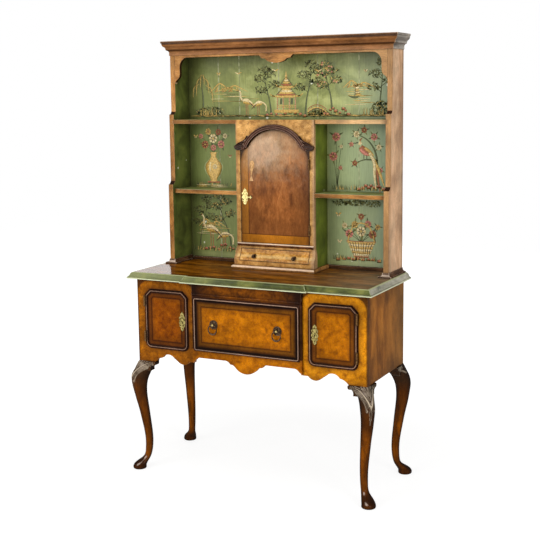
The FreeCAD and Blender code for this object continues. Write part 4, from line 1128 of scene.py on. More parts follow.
@dataclass
class Base:
    """The base: legs, carcase, doors, middle drawer and worktop, in millimetres."""

    easing: float = 0.7  # width of the rounded edges of its wood
    ear_easing: float = 1.0
    brass_easing: float = 0.3
    door_gap: float = 2.0  # gap round a side door
    band: float = 60.0  # half of how far below a door the bay's dark corners are left out
    beads: int = 20  # beads on a rosette

    def build(self) -> None:
        """Builds and dresses every piece of the base."""
        self.build_legs()
        self.build_carcase()
        for side in Side:
            self.build_door(side)
        self.build_drawer()
        dress("worktop", "polished_worktop", "root", "polished_walnut", self.easing, TOP_WALNUT)
        dress("worktop_edge", "green_worktop_edge", "root", "green_paint", self.easing, EDGE_GREEN,
              # A painted reflection on the edge's right end
              (EDGE_REFLECTION, lambda normal, middle: normal.x > 0.5 and middle.x > 0.55))

    def build_legs(self) -> None:
        """Legs with smooth shafts, the ears and the carving on the knees."""
        low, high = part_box("base_right_side")
        front_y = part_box("right_bay_front")[0].y
        ears = dress("knee_blocks", "carved_ears", "root", "polished_walnut", self.ear_easing,
                     LEG_WALNUT)
        for depth, front, y in (("front", -1, front_y), ("back", 1, high.y)):
            for side in Side:
                node = "%s_%s_leg" % (depth, side.name.lower())
                leg = dress(node, "cabriole_" + node, "root", "polished_walnut", 0.0, LEG_WALNUT)
                CarvedKnee(side.value, front, front < 0).build(
                    self.surface_of(leg, ears), Vector((side.value * high.x, y, low.z)),
                    node.replace("leg", "knee_carving"))

    def surface_of(self, *shapes: Shape) -> BVHTree:
        """Surface of several meshes, for laying a carving on them.

        Args:
            shapes: The mesh objects.

        Returns:
            Their surface.
        """
        points: list[Vector] = []
        faces: list[tuple[int, ...]] = []
        for shape in shapes:
            first = len(points)
            points += [vertex.co.copy() for vertex in shape.data.vertices]
            faces += [tuple(first + i for i in face.vertices) for face in shape.data.polygons]
        return BVHTree.FromPolygons(points, faces)

    def build_carcase(self) -> None:
        """Sides, bay fronts, apron and frieze rail."""
        for node in ("base_right_side", "base_left_side"):
            dress(node, "walnut_" + node, "root", "walnut_board", self.easing, SIDE_WALNUT)
        for name, veneer in (("right", BRIGHT_BURR), ("left", DEEP_BURR)):
            # Painted shade round each door's gap, and dark corners above the door whose band also
            # paints the shadow under the worktop's edge
            shading = around(name + "_door", (
                (0, "#1c0c05", 0.95), (2.5, "#2a1208", 0.9), (5, "#5c3010", 0.5),
                (12, "#70400e", 0.4), (30, "#7a460e", 0.0)), 26, self.door_gap, outside=True,
                canted=True)
            spandrels = around(name + "_door", (
                (0, "#6e3c0c", 0.0), (32, "#6e3c0c", 0.0), (36, "#6e3c0c", 0.4),
                (39, "#3c1f0c", 0.85), (60, "#34190a", 0.9)), 18, self.door_gap, self.band,
                outside=True)
            dress(name + "_bay_front", "veneered_%s_bay" % name, "root", "burr_walnut", self.easing,
                  veneer.variant(name + "_bay_veneer", panels=(shading, spandrels),
                                 fades=(Fade("Z", 552, 506, "#6e3c0a", 0.6),)))
        dress("middle_apron", "veneered_apron", "root", "burr_walnut", self.easing,
              BURR.variant("apron_veneer", fades=(Fade("Z", 560, 588, "#7a420c", 0.6),)))
        dress("middle_frieze", "frieze_rail_and_bead", "root", "polished_walnut", self.easing,
              BURR.variant("frieze_rail_veneer", "#94500a", "#6c3a08", "#3a1c06", worn="#c09880",
                           wear=0.7, fades=(Fade("X", 90, 240, "#241008", 0.95),
                                            Fade("X", -150, -245, "#241008", 0.95),
                                            # Painted shadow under the worktop's edge
                                            Fade("Z", 862, 882, "#2c1408", 0.8),
                                            Fade("Z", 822, 820, "#4a281a", 0.9, 0.1))))

    def build_door(self, side: Side) -> None:
        """One side door with its banded veneer and its brass.

        Args:
            side: Which door.
        """
        name = side.name.lower()
        node = name + "_door"
        # From the door's edge inwards: a painted shadow at the edge, a painted highlight on the
        # bead's crest, painted shade in the cove inside it, then the crossbanding and a dark string
        # line
        band = around(node, (
            (0, "#24100a", 1.0), (3.2, "#4a281a", 0.95), (4.3, "#d4b8a0", 0.75),
            (5.4, "#4a2816", 0.95), (8, "#160804", 1.0), (12, "#2c140a", 0.95),
            (20, "#5c300c", 0.85), (28, "#522a0a", 0.85), (31, "#241006", 0.95),
            (33.5, "#4a220a", 0.75), (38, "#74400a", 0.45), (56, "#74400a", 0.0)), 26, canted=True)
        veneer = BURR if side is Side.RIGHT else RED_BURR
        dress(node, "banded_" + node, node, "burr_walnut", self.easing,
              veneer.variant("banded_%s_veneer" % node, panels=(band,), worn="#c8a490"))
        dress(node + "_escutcheon", "pierced_%s_escutcheon" % name, node, "brass",
              self.brass_easing, PALE_BRASS)

    def build_drawer(self) -> None:
        """Front of the middle drawer, its rosettes, posts and rings."""
        # From the drawer's edge inwards: a painted shadow at the edge, a painted highlight on the
        # bead's crest, painted shade in the cove inside it, then the crossbanding and a dark string
        # line
        band = around("drawer_front", (
            (0, "#24100a", 1.0), (3.5, "#4e2c1e", 0.95), (4.7, "#e0c8b2", 0.8),
            (5.9, "#462616", 0.95), (9.5, "#100603", 1.0), (15, "#190c06", 1.0),
            (21, "#361c08", 0.92), (30, "#5a360c", 0.85), (36, "#54300c", 0.85),
            (38.5, "#201006", 0.95), (41, "#4a260a", 0.75), (46, "#6e3c08", 0.45),
            (75, "#6e3c08", 0.0)), 12)
        dress("drawer_front", "banded_drawer_front", "middle_drawer", "burr_walnut", self.easing,
              BURR.variant("banded_drawer_veneer", panels=(band,), worn="#c8a490",
                           fades=(Fade("X", -130, -240, "#6a3a06", 0.5, 0.9),
                                  Fade("Z", 635, 590, "#7c4606", 0.4, 0.9))))
        low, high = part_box("pull_rosettes")
        radius = (high.z - low.z) / 2
        plates = join("beaded_rosettes", [self.rosette(
            Vector((side.value * (high.x - radius), high.y, (high.z + low.z) / 2)),
            radius, high.y - low.y) for side in Side])
        plates.data.materials.append(material_of(BROWN_BRASS))
        smooth(plates)
        seat(plates, "middle_drawer", "brass", "pull_rosettes")
        dress("pull_posts", "ball_posts", "middle_drawer", "brass", 0.0, BRIGHT_BRASS)
        for side in Side:
            self.build_ring(side.name.lower())

    def rosette(self, centre: Vector, radius: float, thick: float) -> Shape:
        """Round plate behind a ring pull, with a raised rim and a ring of beads.

        Args:
            centre: Middle of its back.
            radius: Its radius.
            thick: Its thickness.

        Returns:
            The plate.
        """
        # share of the radius and of the thickness, from the rim inwards
        profile = ((1.0, 0.0), (1.0, 0.5), (0.96, 0.85), (0.9, 1.0), (0.83, 0.9), (0.78, 0.5),
                   (0.62, 0.35), (0.54, 0.5), (0.47, 0.95), (0.4, 0.95), (0.34, 0.5), (0.12, 0.45))
        plate = primitive("plate", bpy.ops.mesh.primitive_circle_add, vertices=40, radius=radius,
                          fill_type="NGON", rotation=(math.pi / 2, 0, 0), location=centre)
        with editing(plate):
            for (share, far), (last, near) in zip(profile[1:], profile):
                bpy.ops.mesh.extrude_region_move(
                    TRANSFORM_OT_translate={"value": (0, thick * (near - far), 0)})
                bpy.ops.transform.resize(value=(share / last, 1, share / last),
                                         center_override=tuple(centre))
            bpy.ops.mesh.select_all(action="SELECT")
            bpy.ops.mesh.normals_make_consistent(inside=False)
        pieces = [plate]
        for i in range(self.beads):
            angle = 2 * math.pi * i / self.beads
            spot = Vector((math.cos(angle), 0, math.sin(angle))) * 0.7 * radius
            pieces.append(primitive(
                "bead", bpy.ops.mesh.primitive_uv_sphere_add, segments=8, ring_count=5,
                radius=0.08 * radius, location=centre + spot - Vector((0, 0.42 * thick, 0))))
        return join("rosette", pieces)

    def build_ring(self, name: str) -> None:
        """One ring pull, swelling towards its foot, with a collar there.

        Args:
            name: Which ring, "right" or "left".
        """
        low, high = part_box(name + "_ring_pull")
        middle = (low + high) / 2
        wire = (high.y - low.y) / 2
        ring = primitive(
            name + "_drop_ring", bpy.ops.mesh.primitive_torus_add, major_segments=72,
            minor_segments=14, major_radius=(high.x - low.x) / 2 - wire, minor_radius=wire * 1.2,
            location=middle, rotation=(math.pi / 2, 0, 0))
        for spread, swell in ((70, 0.3), (55, 0.3), (40, 0.3), (25, 0.25), (6, 0.5)):
            bound = math.cos(math.radians(spread))
            foot = [-(face.center - middle).normalized().z > bound for face in ring.data.polygons]
            with editing(ring, "FACE", foot):
                bpy.ops.transform.shrink_fatten(value=swell * MM)
        smooth(ring, 60.0)
        ring.data.materials.append(material_of(BROWN_BRASS))
        seat(ring, name + "_ring", "brass", name + "_ring_pull")


@dataclass
class Hutch:
    """The hutch without its cupboard: sides, painted back, shelves, cornice, foot mouldings."""

    easing: float = 0.8  # width of the rounded edges of its wood, in millimetres
    joint_shares: tuple[float, ...] = (0.157, 0.262, 0.456, 0.642, 0.832)  # of the back's width

    def build(self) -> None:
        """Builds and dresses every piece of the hutch."""
        low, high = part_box("hutch_back_planks")
        joints = tuple(low.x + share * (high.x - low.x) for share in self.joint_shares)
        faded = (Fade("X", 100, 520, "#ac865c", 0.7),)
        dress("hutch_back_planks", "painted_back_planks", "root", "green_paint", self.easing,
              replace(BACK_GREEN, joints=joints),
              (OAK.variant("plain_oak_planks", grain=Grain.ALONG_Z),
               lambda normal, middle: normal.y > 0.7))
        for side in Side:
            name = side.name.lower()
            node = "hutch_%s_side" % name
            rims = around(node, (
                (0, "#241208", 0.7), (1, "#3a2010", 0.4), (2.4, "#8a5a34", 0.0)), 0)
            dress(node, "stepped_%s_side" % name, "root", "walnut_board", self.easing,
                  WARM_WALNUT.variant("warm_walnut_upright", grain=Grain.ALONG_Z, fades=faded,
                                      panels=(rims,)),
                  # Painted shadow on the tops and undersides of the steps
                  (SHADOW_WALNUT, lambda normal, middle: abs(normal.z) > 0.35),
                  (FADED_WALNUT, lambda normal, middle: normal.x * side.value > 0.7),
                  (SHADED_SIDE_GREEN, lambda normal, middle: normal.x * side.value < -0.7))
        ends = (Fade("X", 100, -500, "#70481f", 0.6), Fade("X", 150, 420, "#e6c290", 0.6),
                Fade("X", 490, 515, "#5a3a20", 0.7))
        for node, fades in (("upper_shelf", ends), ("lower_shelves", ends[2:])):
            name = "painted_" + node
            dress(node, name, "root", "walnut_board", self.easing,
                  WARM_WALNUT.variant(name + "_edge", fades=fades),
                  (SHELF_GREEN, lambda normal, middle: abs(normal.z) > 0.7))
        for node, name, *finishes in (
                ("cornice", "moulded_cornice", DUSTY_SHADED_WALNUT,
                 (GREY_WALNUT, lambda normal, middle: normal.x > 0.4)),
                ("frieze", "shaped_frieze", replace(WARM_WALNUT, fades=faded),
                 # Painted shadow on the frieze's inner and lower edges
                 (SHADOW_WALNUT, lambda normal, middle: abs(normal.y) < 0.6 and normal.z < 0.7)),
                ("foot_mouldings", "hutch_foot_mouldings", FOOT_WALNUT)):
            dress(node, name, "root", "walnut_board", self.easing, *finishes)


@dataclass
class Cupboard:
    """The cupboard in the hutch, its arched door, carved hood and small drawer, in millimetres."""

    easing: float = 0.7  # width of the rounded edges of its wood
    brass_easing: float = 0.3
    arch_radius: float = 148.0  # radius of the arch at the door's edge
    spring: float = 30.0  # angle in degrees at which the arch starts
    hood_width: float = 21.5  # width of the hood's moulding
    hood_sink: float = 0.5

    def build(self) -> None:
        """Builds and dresses every piece of the cupboard."""
        # Painted highlights on the upper rounds of the plinth and the bead, and along the lower
        # curve of the small drawer's front and the face round it
        shine = (Facing((0, -1, 1), 0.86, 0.98, "#fadcbc", 0.8),)
        cove_highlight = Facing((0, -1, 0.75), 0.97, 0.998, "#ffde9c", 0.5)
        # Painted shadow in the gap round the small drawer and along the drawer's own edge
        gap = around("small_drawer_front", (
            (0, "#20100a", 0.9), (2.5, "#6a4420", 0.5), (7, "#6a4420", 0.0)), 0, outside=True)
        rim = around("small_drawer_front", (
            (0, "#2a160a", 0.8), (1.6, "#a06a34", 0.4), (12, "#8a5222", 0.25),
            (26, "#8a5222", 0.0)), 0)
        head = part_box("cupboard_door")[1].z / MM
        # Pale bloom at the door's head, partly a painted sheen
        bloom = Panel((-60, head - 90), (62, 48), (
            (0, "#e2ccae", 0.3), (25, "#d8be98", 0.27), (60, "#bc9c74", 0.2),
            (120, "#a88662", 0.0)), 44, True, 64)
        shade = around("cupboard_door", (
            (0, "#1c0e07", 0.9), (3, "#3a2010", 0.6), (12, "#4a2a14", 0.25),
            (34, "#4a2a14", 0.0)), 160, drop=150, wander=3)
        dress("cupboard_face", "burr_cupboard_face", "root", "burr_walnut", self.easing,
              replace(GOLDEN_BURR, panels=(gap,), fades=(
                  # A painted highlight along the face's curve, and a paler right stile, rubbed and
                  # partly a painted highlight
                  cove_highlight, Fade("X", 176, 190, "#bb9a78", 0.7),
                  Fade("X", -178, -190, "#a3764e", 0.6))))
        dress("cupboard_sides", "painted_cupboard_sides", "root", "green_paint", self.easing,
              SHADED_CUPBOARD_GREEN)
        self.build_hood()
        dress("cupboard_plinth", "cupboard_moulded_foot", "root", "walnut_board", self.easing,
              GOLDEN_BURR.variant("golden_moulding", "#cc9a5a", "#9a6a3c", "#4a2c14",
                                  worn="#f0dcc0", wear=1.0, grime=0.9, fades=shine))
        dress("cupboard_floor", "cupboard_floor_and_bead", "root", "walnut_board", self.easing,
              GOLDEN_BURR.variant("dark_bead", "#80502a", "#58321a", "#2c170b", worn="#f4e0cc",
                                  wear=1.0, grime=0.7, fades=shine))
        dress("cupboard_door", "arched_mahogany_door", "cupboard_door", "mahogany", self.easing,
              replace(MAHOGANY, panels=(bloom, shade)))
        dress("cupboard_escutcheon", "pierced_cupboard_escutcheon", "cupboard_door", "brass",
              self.brass_easing, BRIGHT_BRASS)
        dress("small_drawer_front", "burr_small_drawer_front", "small_drawer", "burr_walnut",
              self.easing, GOLDEN_BURR.variant(
                  "small_drawer_burr", "#ffd27c", "#cf8f34", "#55300c", coat=0.2, figure=15.0,
                  panels=(rim,), fades=(cove_highlight,)))

    def build_hood(self) -> None:
        """Hood of three carved members, ending in scrolled leaves."""
        low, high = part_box("cupboard_hood")
        reach = self.arch_radius + self.hood_width
        centre = high.z / MM - reach
        # Painted highlights along the crests of the three members and painted shade in the grooves
        # between them
        members = Panel((0, centre - reach), (reach, 2 * reach), (
            (0, "#2a140e", 0.0), (1, "#a07866", 0.8), (2.6, "#34180f", 0.9), (8, "#4e281a", 0.9),
            (10, "#8e6452", 0.75), (12, "#2a130b", 0.9), (16.5, "#452218", 0.9),
            (18.5, "#a07866", 0.8), (20.5, "#100705", 1.0)), reach, wander=0.2)
        dark = material_of(replace(DARK_WALNUT, panels=(members,)))
        core = from_frame("cupboard_hood", "hood_core", self.easing)
        core.data.materials.append(dark)
        foot = low.z / MM
        ribs = [arc((0, centre - foot), (radius, radius), (self.spring, 180 - self.spring),
                    (width, width), (height, height), 40)
                for radius, width, height in ((self.arch_radius + 2.4, 2.4, 3.8),
                                              (self.arch_radius + 10.5, 4.4, 2.0),
                                              (self.arch_radius + 18.8, 2.2, 3.8))]
        horn = [arc((150, 16), (12, 1.8), (90, 522), (3.4, 2.2), (4, 3))] + [
            Rib(*row) for row in (
                (((136, 46), (150, 34), (166, 36), (188, 19)), (5, 2), (4, 2.6)),
                (((140, 30), (156, 26), (170, 26), (192, 16)), (4, 1.6), (3.4, 2)),
                (((150, 6), (162, 8), (174, 12), (190, 14)), (3.6, 1.6), (3, 2)),
                (((128, 60), (134, 52), (140, 44)), (4, 3), (3, 3)))]

        def place(a: Array, b: Array, height: Array) -> Array:
            """Points of the carving in metres, in front of the hood."""
            return np.stack([a * MM, low.y - height * MM, (foot + b) * MM], axis=1)

        relief = carved("hood_carving", (low.x / MM, -3.0), (high.x / MM, high.z / MM - foot + 1),
                        ribs + horn + [rib.mirrored() for rib in horn], place, self.hood_sink)
        face_towards(relief, Vector((0, -1, 0)))
        relief.data.materials.append(dark)
        seat(join("carved_hood", [core, relief]), "root", "polished_walnut", "cupboard_hood")


# Fixed motifs, each stroke as its paint and its dabs: x, z and half width in millimetres
BOAT = (
    (DARK, (-26, 4, 1), (-10, -3, 3.6), (10, -3, 3.6), (26, 5, 1)),
    (GOLD, (-26, 6, 0.8), (0, 0, 1.4), (26, 7, 0.8)), (LINES, (0, 0, 1), (2, 46, 0.7)),
    *((CREAM if i % 2 else GOLD, (3, 8 + 7.5 * i, 3), (12, 9 + 7.5 * i, 3.6),
       (21 - 2 * i, 9 + 7.5 * i, 2.4)) for i in range(5)))
BIRD = (
    *((paint, (10, 12, 3), (24, -8, 3.2), (0.8 * reach, -36, 3.4), (reach, drop, 0.8))
      for drop, reach, paint in ((-64, 46, GOLD), (-78, 36, RUST), (-70, 26, CREAM))),
    (RUST, (-12, 26, 5), (-2, 16, 9), (12, 10, 5)), (PINK, (-13, 20, 3), (-4, 11, 5), (6, 7, 2)),
    (GOLD, (-2, 24, 2), (8, 18, 4.6), (20, 6, 1.4)), (CREAM, (-10, 32, 3.6), (-16, 36, 4.4)),
    (RUST, (-14, 40, 2), (-8, 47, 0.6)), (LINES, (-19, 36, 1.4), (-27, 33, 0.4)),
    *((LINES, (x, 8, 0.9), (x, -2, 0.8)) for x in (-4, 3)))
VASE = (
    *((DARK, (x, 0, 2.4), (0.9 * x, 9, 2)) for x in (-20, 0, 20)),
    (RUST, (-25, 10, 2.6), (25, 10, 2.6)),
    (GOLD, (0, 12, 12), (0, 20, 10), (0, 42, 27), (0, 68, 32), (0, 86, 16), (0, 98, 8),
     (0, 110, 11), (0, 113, 14)),
    *((RUST, (-half, z + 1, 0.8), (0, z - 2, 1.3), (half, z + 1, 0.8))
      for z, half in ((22, 10), (48, 24), (80, 20), (98, 9), (111, 12))),
    (CREAM, (-14, 46, 1.5), (-17, 64, 3.6), (-11, 80, 1.2)))
BASKET = (
    *((GOLD if z % 2 else CREAM, (-half, 6 + z, 3), (0, 3 + z, 3.6), (half, 6 + z, 3))
      for z, half in zip(range(0, 42, 7), (26, 29.4, 32.8, 36.2, 39.6, 43))),
    *((LINES, (x, 3, 0.8), (1.1 * x, 22, 0.9), (1.5 * x, 42, 0.8)) for x in range(-24, 25, 6)),
    (RUST, (-46, 45, 2.2), (0, 40, 2.6), (46, 45, 2.2)),
    (GOLD, (-42, 44, 1.8), (-34, 100, 1.8), (34, 100, 1.8), (42, 44, 1.8)),
    (RUST, (-24, 0, 2.4), (24, 0, 2.4)))


@dataclass
class Motif:
    """Strokes of the painted scenes in millimetres, gathered by paint."""

    wall: float  # depth of the painted face in metres
    chance: random.Random  # the random numbers of the strokes
    bold: float = 1.25  # how much wider the strokes are than drawn, so that they show
    strokes: dict[Paint, list[list[Dab]]] = field(default_factory=dict)

    def stroke(self, paint: Paint, spot: Point, *dabs: Dab, scale: float = 1.0,
               flip: int = 1) -> None:
        """Lays one stroke.

        Args:
            paint: Its paint.
            spot: The motif's place, x and z.
            dabs: Points from that place: x, z and half width.
            scale: How much larger than drawn.
            flip: -1 to turn it left to right.
        """
        self.strokes.setdefault(paint, []).append(
            [(spot[0] + flip * x * scale, spot[1] + z * scale, w * scale * self.bold)
             for x, z, w in dabs])

    def draw(self, spot: Point, rows: Sequence[tuple], scale: float = 1.0, flip: int = 1) -> None:
        """Lays several strokes.

        Args:
            spot: The motif's place.
            rows: Paint and dabs of each stroke.
            scale: How much larger than drawn.
            flip: -1 to turn them left to right.
        """
        for paint, *dabs in rows:
            self.stroke(paint, spot, *dabs, scale=scale, flip=flip)

    def scatter(self, paint: Paint, spot: Point, reach: Point, count: int, size: float) -> None:
        """Lays short dabs over an oval.

        Args:
            paint: Their paint.
            spot: Middle of the oval.
            reach: Its half width and half height.
            count: How many dabs.
            size: Half width of a dab.
        """
        for _ in range(count):
            angle = self.chance.uniform(0, 2 * math.pi)
            away = math.sqrt(self.chance.random())
            x, z = reach[0] * away * math.cos(angle), reach[1] * away * math.sin(angle)
            turn = self.chance.uniform(0, math.pi)
            dx, dz = 2.2 * size * math.cos(turn), 2.2 * size * math.sin(turn)
            self.stroke(paint, spot, (x - dx, z - dz, 0.4 * size),
                        (x, z, size * self.chance.uniform(0.7, 1.2)), (x + dx, z + dz, 0.2 * size))

    def bloom(self, spot: Point, size: float, paint: Paint, heart: Paint, petals: int = 7) -> None:
        """Paints a flower of round petals.

        Args:
            spot: Its middle.
            size: Its radius.
            paint: The petals' paint.
            heart: The middle's paint.
            petals: How many petals.
        """
        start = self.chance.uniform(0, 1)
        for i in range(petals):
            angle = 2 * math.pi * (i + start) / petals
            c, s = math.cos(angle), math.sin(angle)
            self.stroke(paint, spot, (0.2 * c, 0.2 * s, 0.2), (0.6 * c, 0.6 * s, 0.34),
                        (0.8 * c, 0.8 * s, 0.2), scale=size)
        self.stroke(heart, spot, (-0.12, 0, 0.16), (0.12, 0, 0.16), scale=size)

    def leaf(self, spot: Point, angle: float, length: float, paint: Paint) -> None:
        """Paints one pointed leaf.

        Args:
            spot: Its foot.
            angle: Its direction in degrees.
            length: Its length.
            paint: Its paint.
        """
        c, s = length * math.cos(math.radians(angle)), length * math.sin(math.radians(angle))
        self.stroke(paint, spot, (0, 0, 0.4), (0.45 * c, 0.45 * s, 0.2 * length), (c, s, 0.3))

    def tree(self, spot: Point, height: float, lean: float, crown: Paint = OLIVE,
             blossom: Paint | None = None) -> None:
        """Paints a tree with a bent trunk and clusters of leaves.

        Args:
            spot: Its foot.
            height: Its height.
            lean: How far its top stands to the side.
            crown: Paint of its leaves.
            blossom: Paint of its flowers, if it has any.
        """
        self.stroke(DARK, spot, (0, 0, 4.5), (0.1 * lean, 0.3 * height, 3),
                    (0.7 * lean, 0.6 * height, 2.4), (lean, 0.9 * height, 1.2))
        for share, way in ((0.5, -34), (0.62, 38), (0.76, -28), (0.86, 26), (0.98, 0)):
            x, z = lean * share, height * share
            self.stroke(DARK, spot, (x, z - 8, 1.6), (x + 0.5 * way, z + 8, 1.2),
                        (x + way, z + 18, 0.6))
            middle = (spot[0] + x + way, spot[1] + z + 18)
            self.scatter(DARK, middle, (32, 18), 26, 3.2)
            self.scatter(OLIVE, middle, (30, 17), 14, 2.6)
            self.scatter(crown, middle, (28, 16), 9, 1.8)
            if blossom:
                for _ in range(3):
                    self.bloom((middle[0] + self.chance.uniform(-20, 20),
                                middle[1] + self.chance.uniform(-12, 12)), 4.6, blossom, CREAM, 5)

    def willow(self, spot: Point, height: float) -> None:
        """Paints a willow with hanging twigs.

        Args:
            spot: Its foot.
            height: Its height.
        """
        self.stroke(DARK, spot, (0, 0, 5), (6, 0.4 * height, 3.5), (-8, 0.75 * height, 2.5),
                    (4, height, 1.4))
        for i in range(17):
            x = -46 + 6.2 * i + self.chance.uniform(-2, 2)
            top = height * (0.98 - 0.00012 * x * x)
            drop = self.chance.uniform(45, 85)
            self.stroke(OLIVE if i % 3 else GOLD, spot, (0.4 * x, top, 0.8), (x, top - 8, 1.5),
                        (1.12 * x, top - 0.5 * drop, 1.8), (1.16 * x, top - drop, 0.4))
            self.scatter(DARK, (spot[0] + x, spot[1] + top - 0.5 * drop), (4, 22), 5, 1.5)

    def hills(self, spot: Point, width: float, height: float) -> None:
        """Paints a range of hills over mist.

        Args:
            spot: Middle of its foot.
            width: Its width.
            height: Height of its tallest hill.
        """
        for left, right, peak, rise in ((-0.5, 0.08, -0.24, 1.0), (-0.16, 0.5, 0.14, 0.74),
                                        (-0.36, 0.3, -0.02, 0.52)):
            x0, x1, xp, top = left * width, right * width, peak * width, rise * height
            self.stroke(GOLD, spot, (x0, 0, 0.6), (0.5 * (x0 + xp), 0.45 * top, 2.2),
                        (xp, top, 2.4), (0.5 * (x1 + xp), 0.5 * top, 1.8), (x1, 0, 0.5))
            for share in (0.25, 0.45, 0.65, 0.85):
                z = top * (1 - share)
                for foot, paint, middle, end, half in (
                        (x1, OLIVE if share > 0.5 else GOLD, 0.03, 0.04, (2.2, 0.6)),
                        (x0, RUST if share > 0.6 else GOLD, -0.02, -0.03, (2.0, 0.5))):
                    x = xp + (foot - xp) * share * 0.5
                    self.stroke(paint, spot, (x, z, 0.6), (x + middle * width, 0.5 * z, half[0]),
                                (x + end * width, 2, half[1]))

    def water(self, spot: Point, width: float, rows: int, gap: float = 9.0) -> None:
        """Paints still water as level strokes.

        Args:
            spot: Middle of its top.
            width: Its width.
            rows: How many rows of strokes.
            gap: Distance between rows.
        """
        for row in range(rows):
            for _ in range(3):
                start = self.chance.uniform(-0.5, 0.15) * width
                length = self.chance.uniform(0.25, 0.5) * width
                z = -gap * row + self.chance.uniform(-1.5, 1.5)
                paint = CREAM if self.chance.random() < 0.4 else GOLD
                self.stroke(paint, spot, (start, z, 0.3), (start + 0.5 * length, z, 1.7),
                            (start + length, z, 0.3))

    def rocks(self, spot: Point, width: float, height: float) -> None:
        """Paints a heap of round rocks.

        Args:
            spot: Middle of its foot.
            width: Its width.
            height: Its height.
        """
        for i in range(9):
            x = width * (i / 8 - 0.5) + self.chance.uniform(-4, 4)
            z = self.chance.uniform(0.1, 1) * height * (1 - (2 * x / width) ** 2 * 0.7)
            size = self.chance.uniform(7, 11)
            self.draw(spot, (
                (DARK, (x - size, z - 2, 0.6 * size), (x + size, z - 1, 0.6 * size)),
                (RUST, (x - 0.7 * size, z - 1, 0.4 * size), (x, z + 1, 0.6 * size),
                 (x + 0.7 * size, z - 1, 0.3 * size)),
                (PINK, (x - 0.5 * size, z + 0.3 * size, 0.8), (x, z + 0.5 * size, 1.8),
                 (x + 0.5 * size, z + 0.2 * size, 0.6))))

    def grass(self, spot: Point, width: float, count: int, height: float = 22.0) -> None:
        """Paints tufts of grass.

        Args:
            spot: Middle of their foot.
            width: Width of the patch.
            count: How many blades.
            height: Height of a blade.
        """
        for _ in range(count):
            x = self.chance.uniform(-0.5, 0.5) * width
            lean = self.chance.uniform(-9, 9)
            tall = self.chance.uniform(0.5, 1) * height
            paint = self.chance.choice((DARK, OLIVE, DARK, GOLD))
            self.stroke(paint, spot, (x, 0, 1.6), (x + 0.4 * lean, 0.6 * tall, 1.2),
                        (x + lean, tall, 0.3))

    def crane(self, spot: Point, scale: float, flip: int, bowed: bool = False) -> None:
        """Paints a crane on long legs.

        Args:
            spot: Its feet.
            scale: Its size.
            flip: The way it faces: 1 to the left.
            bowed: Whether it feeds with its head down.
        """
        neck = ((-12, 50, 3.2), (-26, 46, 2.2), (-30, 28, 1.9), (-27, 16, 2.4)) if bowed else (
            (-12, 50, 3.4), (-22, 62, 2.2), (-16, 76, 1.9), (-24, 84, 2.6))
        x, z, _ = neck[-1]
        self.draw(spot, (
            *((RUST, (leg, 0, 0.9), (leg + 1, 22, 0.9), (leg - 1, 38, 1.4)) for leg in (2, 9)),
            (GOLD, (-10, 46, 5), (4, 48, 9), (20, 42, 6), (32, 34, 1.5)),
            (CREAM, (-12, 50, 3), (0, 54, 6), (16, 48, 4), (28, 40, 1)),
            (LINES, (14, 44, 1), (26, 36, 2.2), (37, 24, 0.6)), (CREAM, *neck),
            (RUST, (x + 1, z + 2, 1.6), (x - 2, z + 1, 1.4)),
            (LINES, (x - 2, z, 0.9), (x - 14, z - 3 - 9 * bowed, 0.4))), scale, flip)

    def pavilion(self, spot: Point, scale: float) -> None:
        """Paints an open pavilion with two swept roofs.

        Args:
            spot: Middle of its foot.
            scale: Its size.
        """
        rows = [(DARK, (x, 30, 4), (x + 2, 50, 4)) for x in (-20, 20)]
        for x in (-34, -12, 12, 34):
            rows += [(RUST, (x, 8, 2.2), (x, 56, 1.8)), (CREAM, (x - 1, 10, 0.6), (x - 1, 54, 0.6))]
        for z, half, width in ((4, 46, 2.4), (9, 46, 2.4), (20, 34, 0.9), (26, 34, 0.9)):
            rows.append((GOLD, (-half, z, width), (half, z, width)))
        rows += [(GOLD, (x, 19, 0.7), (x, 27, 0.7)) for x in range(-32, 33, 8)]
        for base, wide, tall, inner in ((56, 54, 24, 17), (88, 34, 30, 4)):
            for row, paint in enumerate((GOLD, RUST, GOLD, CREAM, GOLD)):
                reach = wide + (inner - wide) * math.sqrt(row / 4)
                z, tip = base + tall * row / 4, 3 * (1 - row / 4)
                rows.append((paint, (-reach, z + tip, 1.2), (-0.6 * reach, z - 1, 3.2), (0, z, 3.6),
                             (0.6 * reach, z - 1, 3.2), (reach, z + tip, 1.2)))
            for way in (-1, 1):
                eave = way * wide
                rows += [(GOLD, (0.8 * eave, base, 2.4), (1.04 * eave, base + 2, 1.8),
                          (1.16 * eave, base + 11, 0.6)),
                         (LINES, (way * inner, base + tall, 0.7), (0.7 * eave, base + 5, 0.8))]
        rows += [(RUST, (x, 78, 2), (x, 90, 2)) for x in (-16, 16)]
        rows.append((GOLD, (0, 118, 3), (0, 124, 4), (0, 130, 1.6), (0, 140, 0.5)))
        self.draw(spot, rows, scale)

    def bridge(self, spot: Point, width: float) -> None:
        """Paints an arched footbridge with a railing, running to the right.

        Args:
            spot: Its near end.
            width: Its length.
        """
        rise = 0.22 * width
        for lift, paint, half in ((0, DARK, 3.0), (4, GOLD, 2.0), (16, RUST, 1.4)):
            self.stroke(paint, spot, (0, lift, half), (0.25 * width, rise + lift, half),
                        (0.75 * width, rise + lift, half), (width, lift, half))
        for i in range(7):
            share = (i + 0.5) / 7
            x, z = width * share, 3 * rise * share * (1 - share)
            self.stroke(RUST, spot, (x, z, 1.1), (x, z + 17, 1.1))

    def butterfly(self, spot: Point, size: float, paint: Paint) -> None:
        """Paints a butterfly.

        Args:
            spot: Its body.
            size: Its size.
            paint: Its wings' paint.
        """
        for way in (-size, size):
            self.stroke(paint, spot, (0, 0, 0.6), (0.7 * way, 0.5 * size, 0.42 * size),
                        (way, 0.8 * size, 0.2 * size))
            self.stroke(CREAM, spot, (0, 0, 0.6), (0.5 * way, -0.4 * size, 0.3 * size))
        self.stroke(LINES, spot, (0, -0.5 * size, 0.6), (0, 0.5 * size, 0.9))

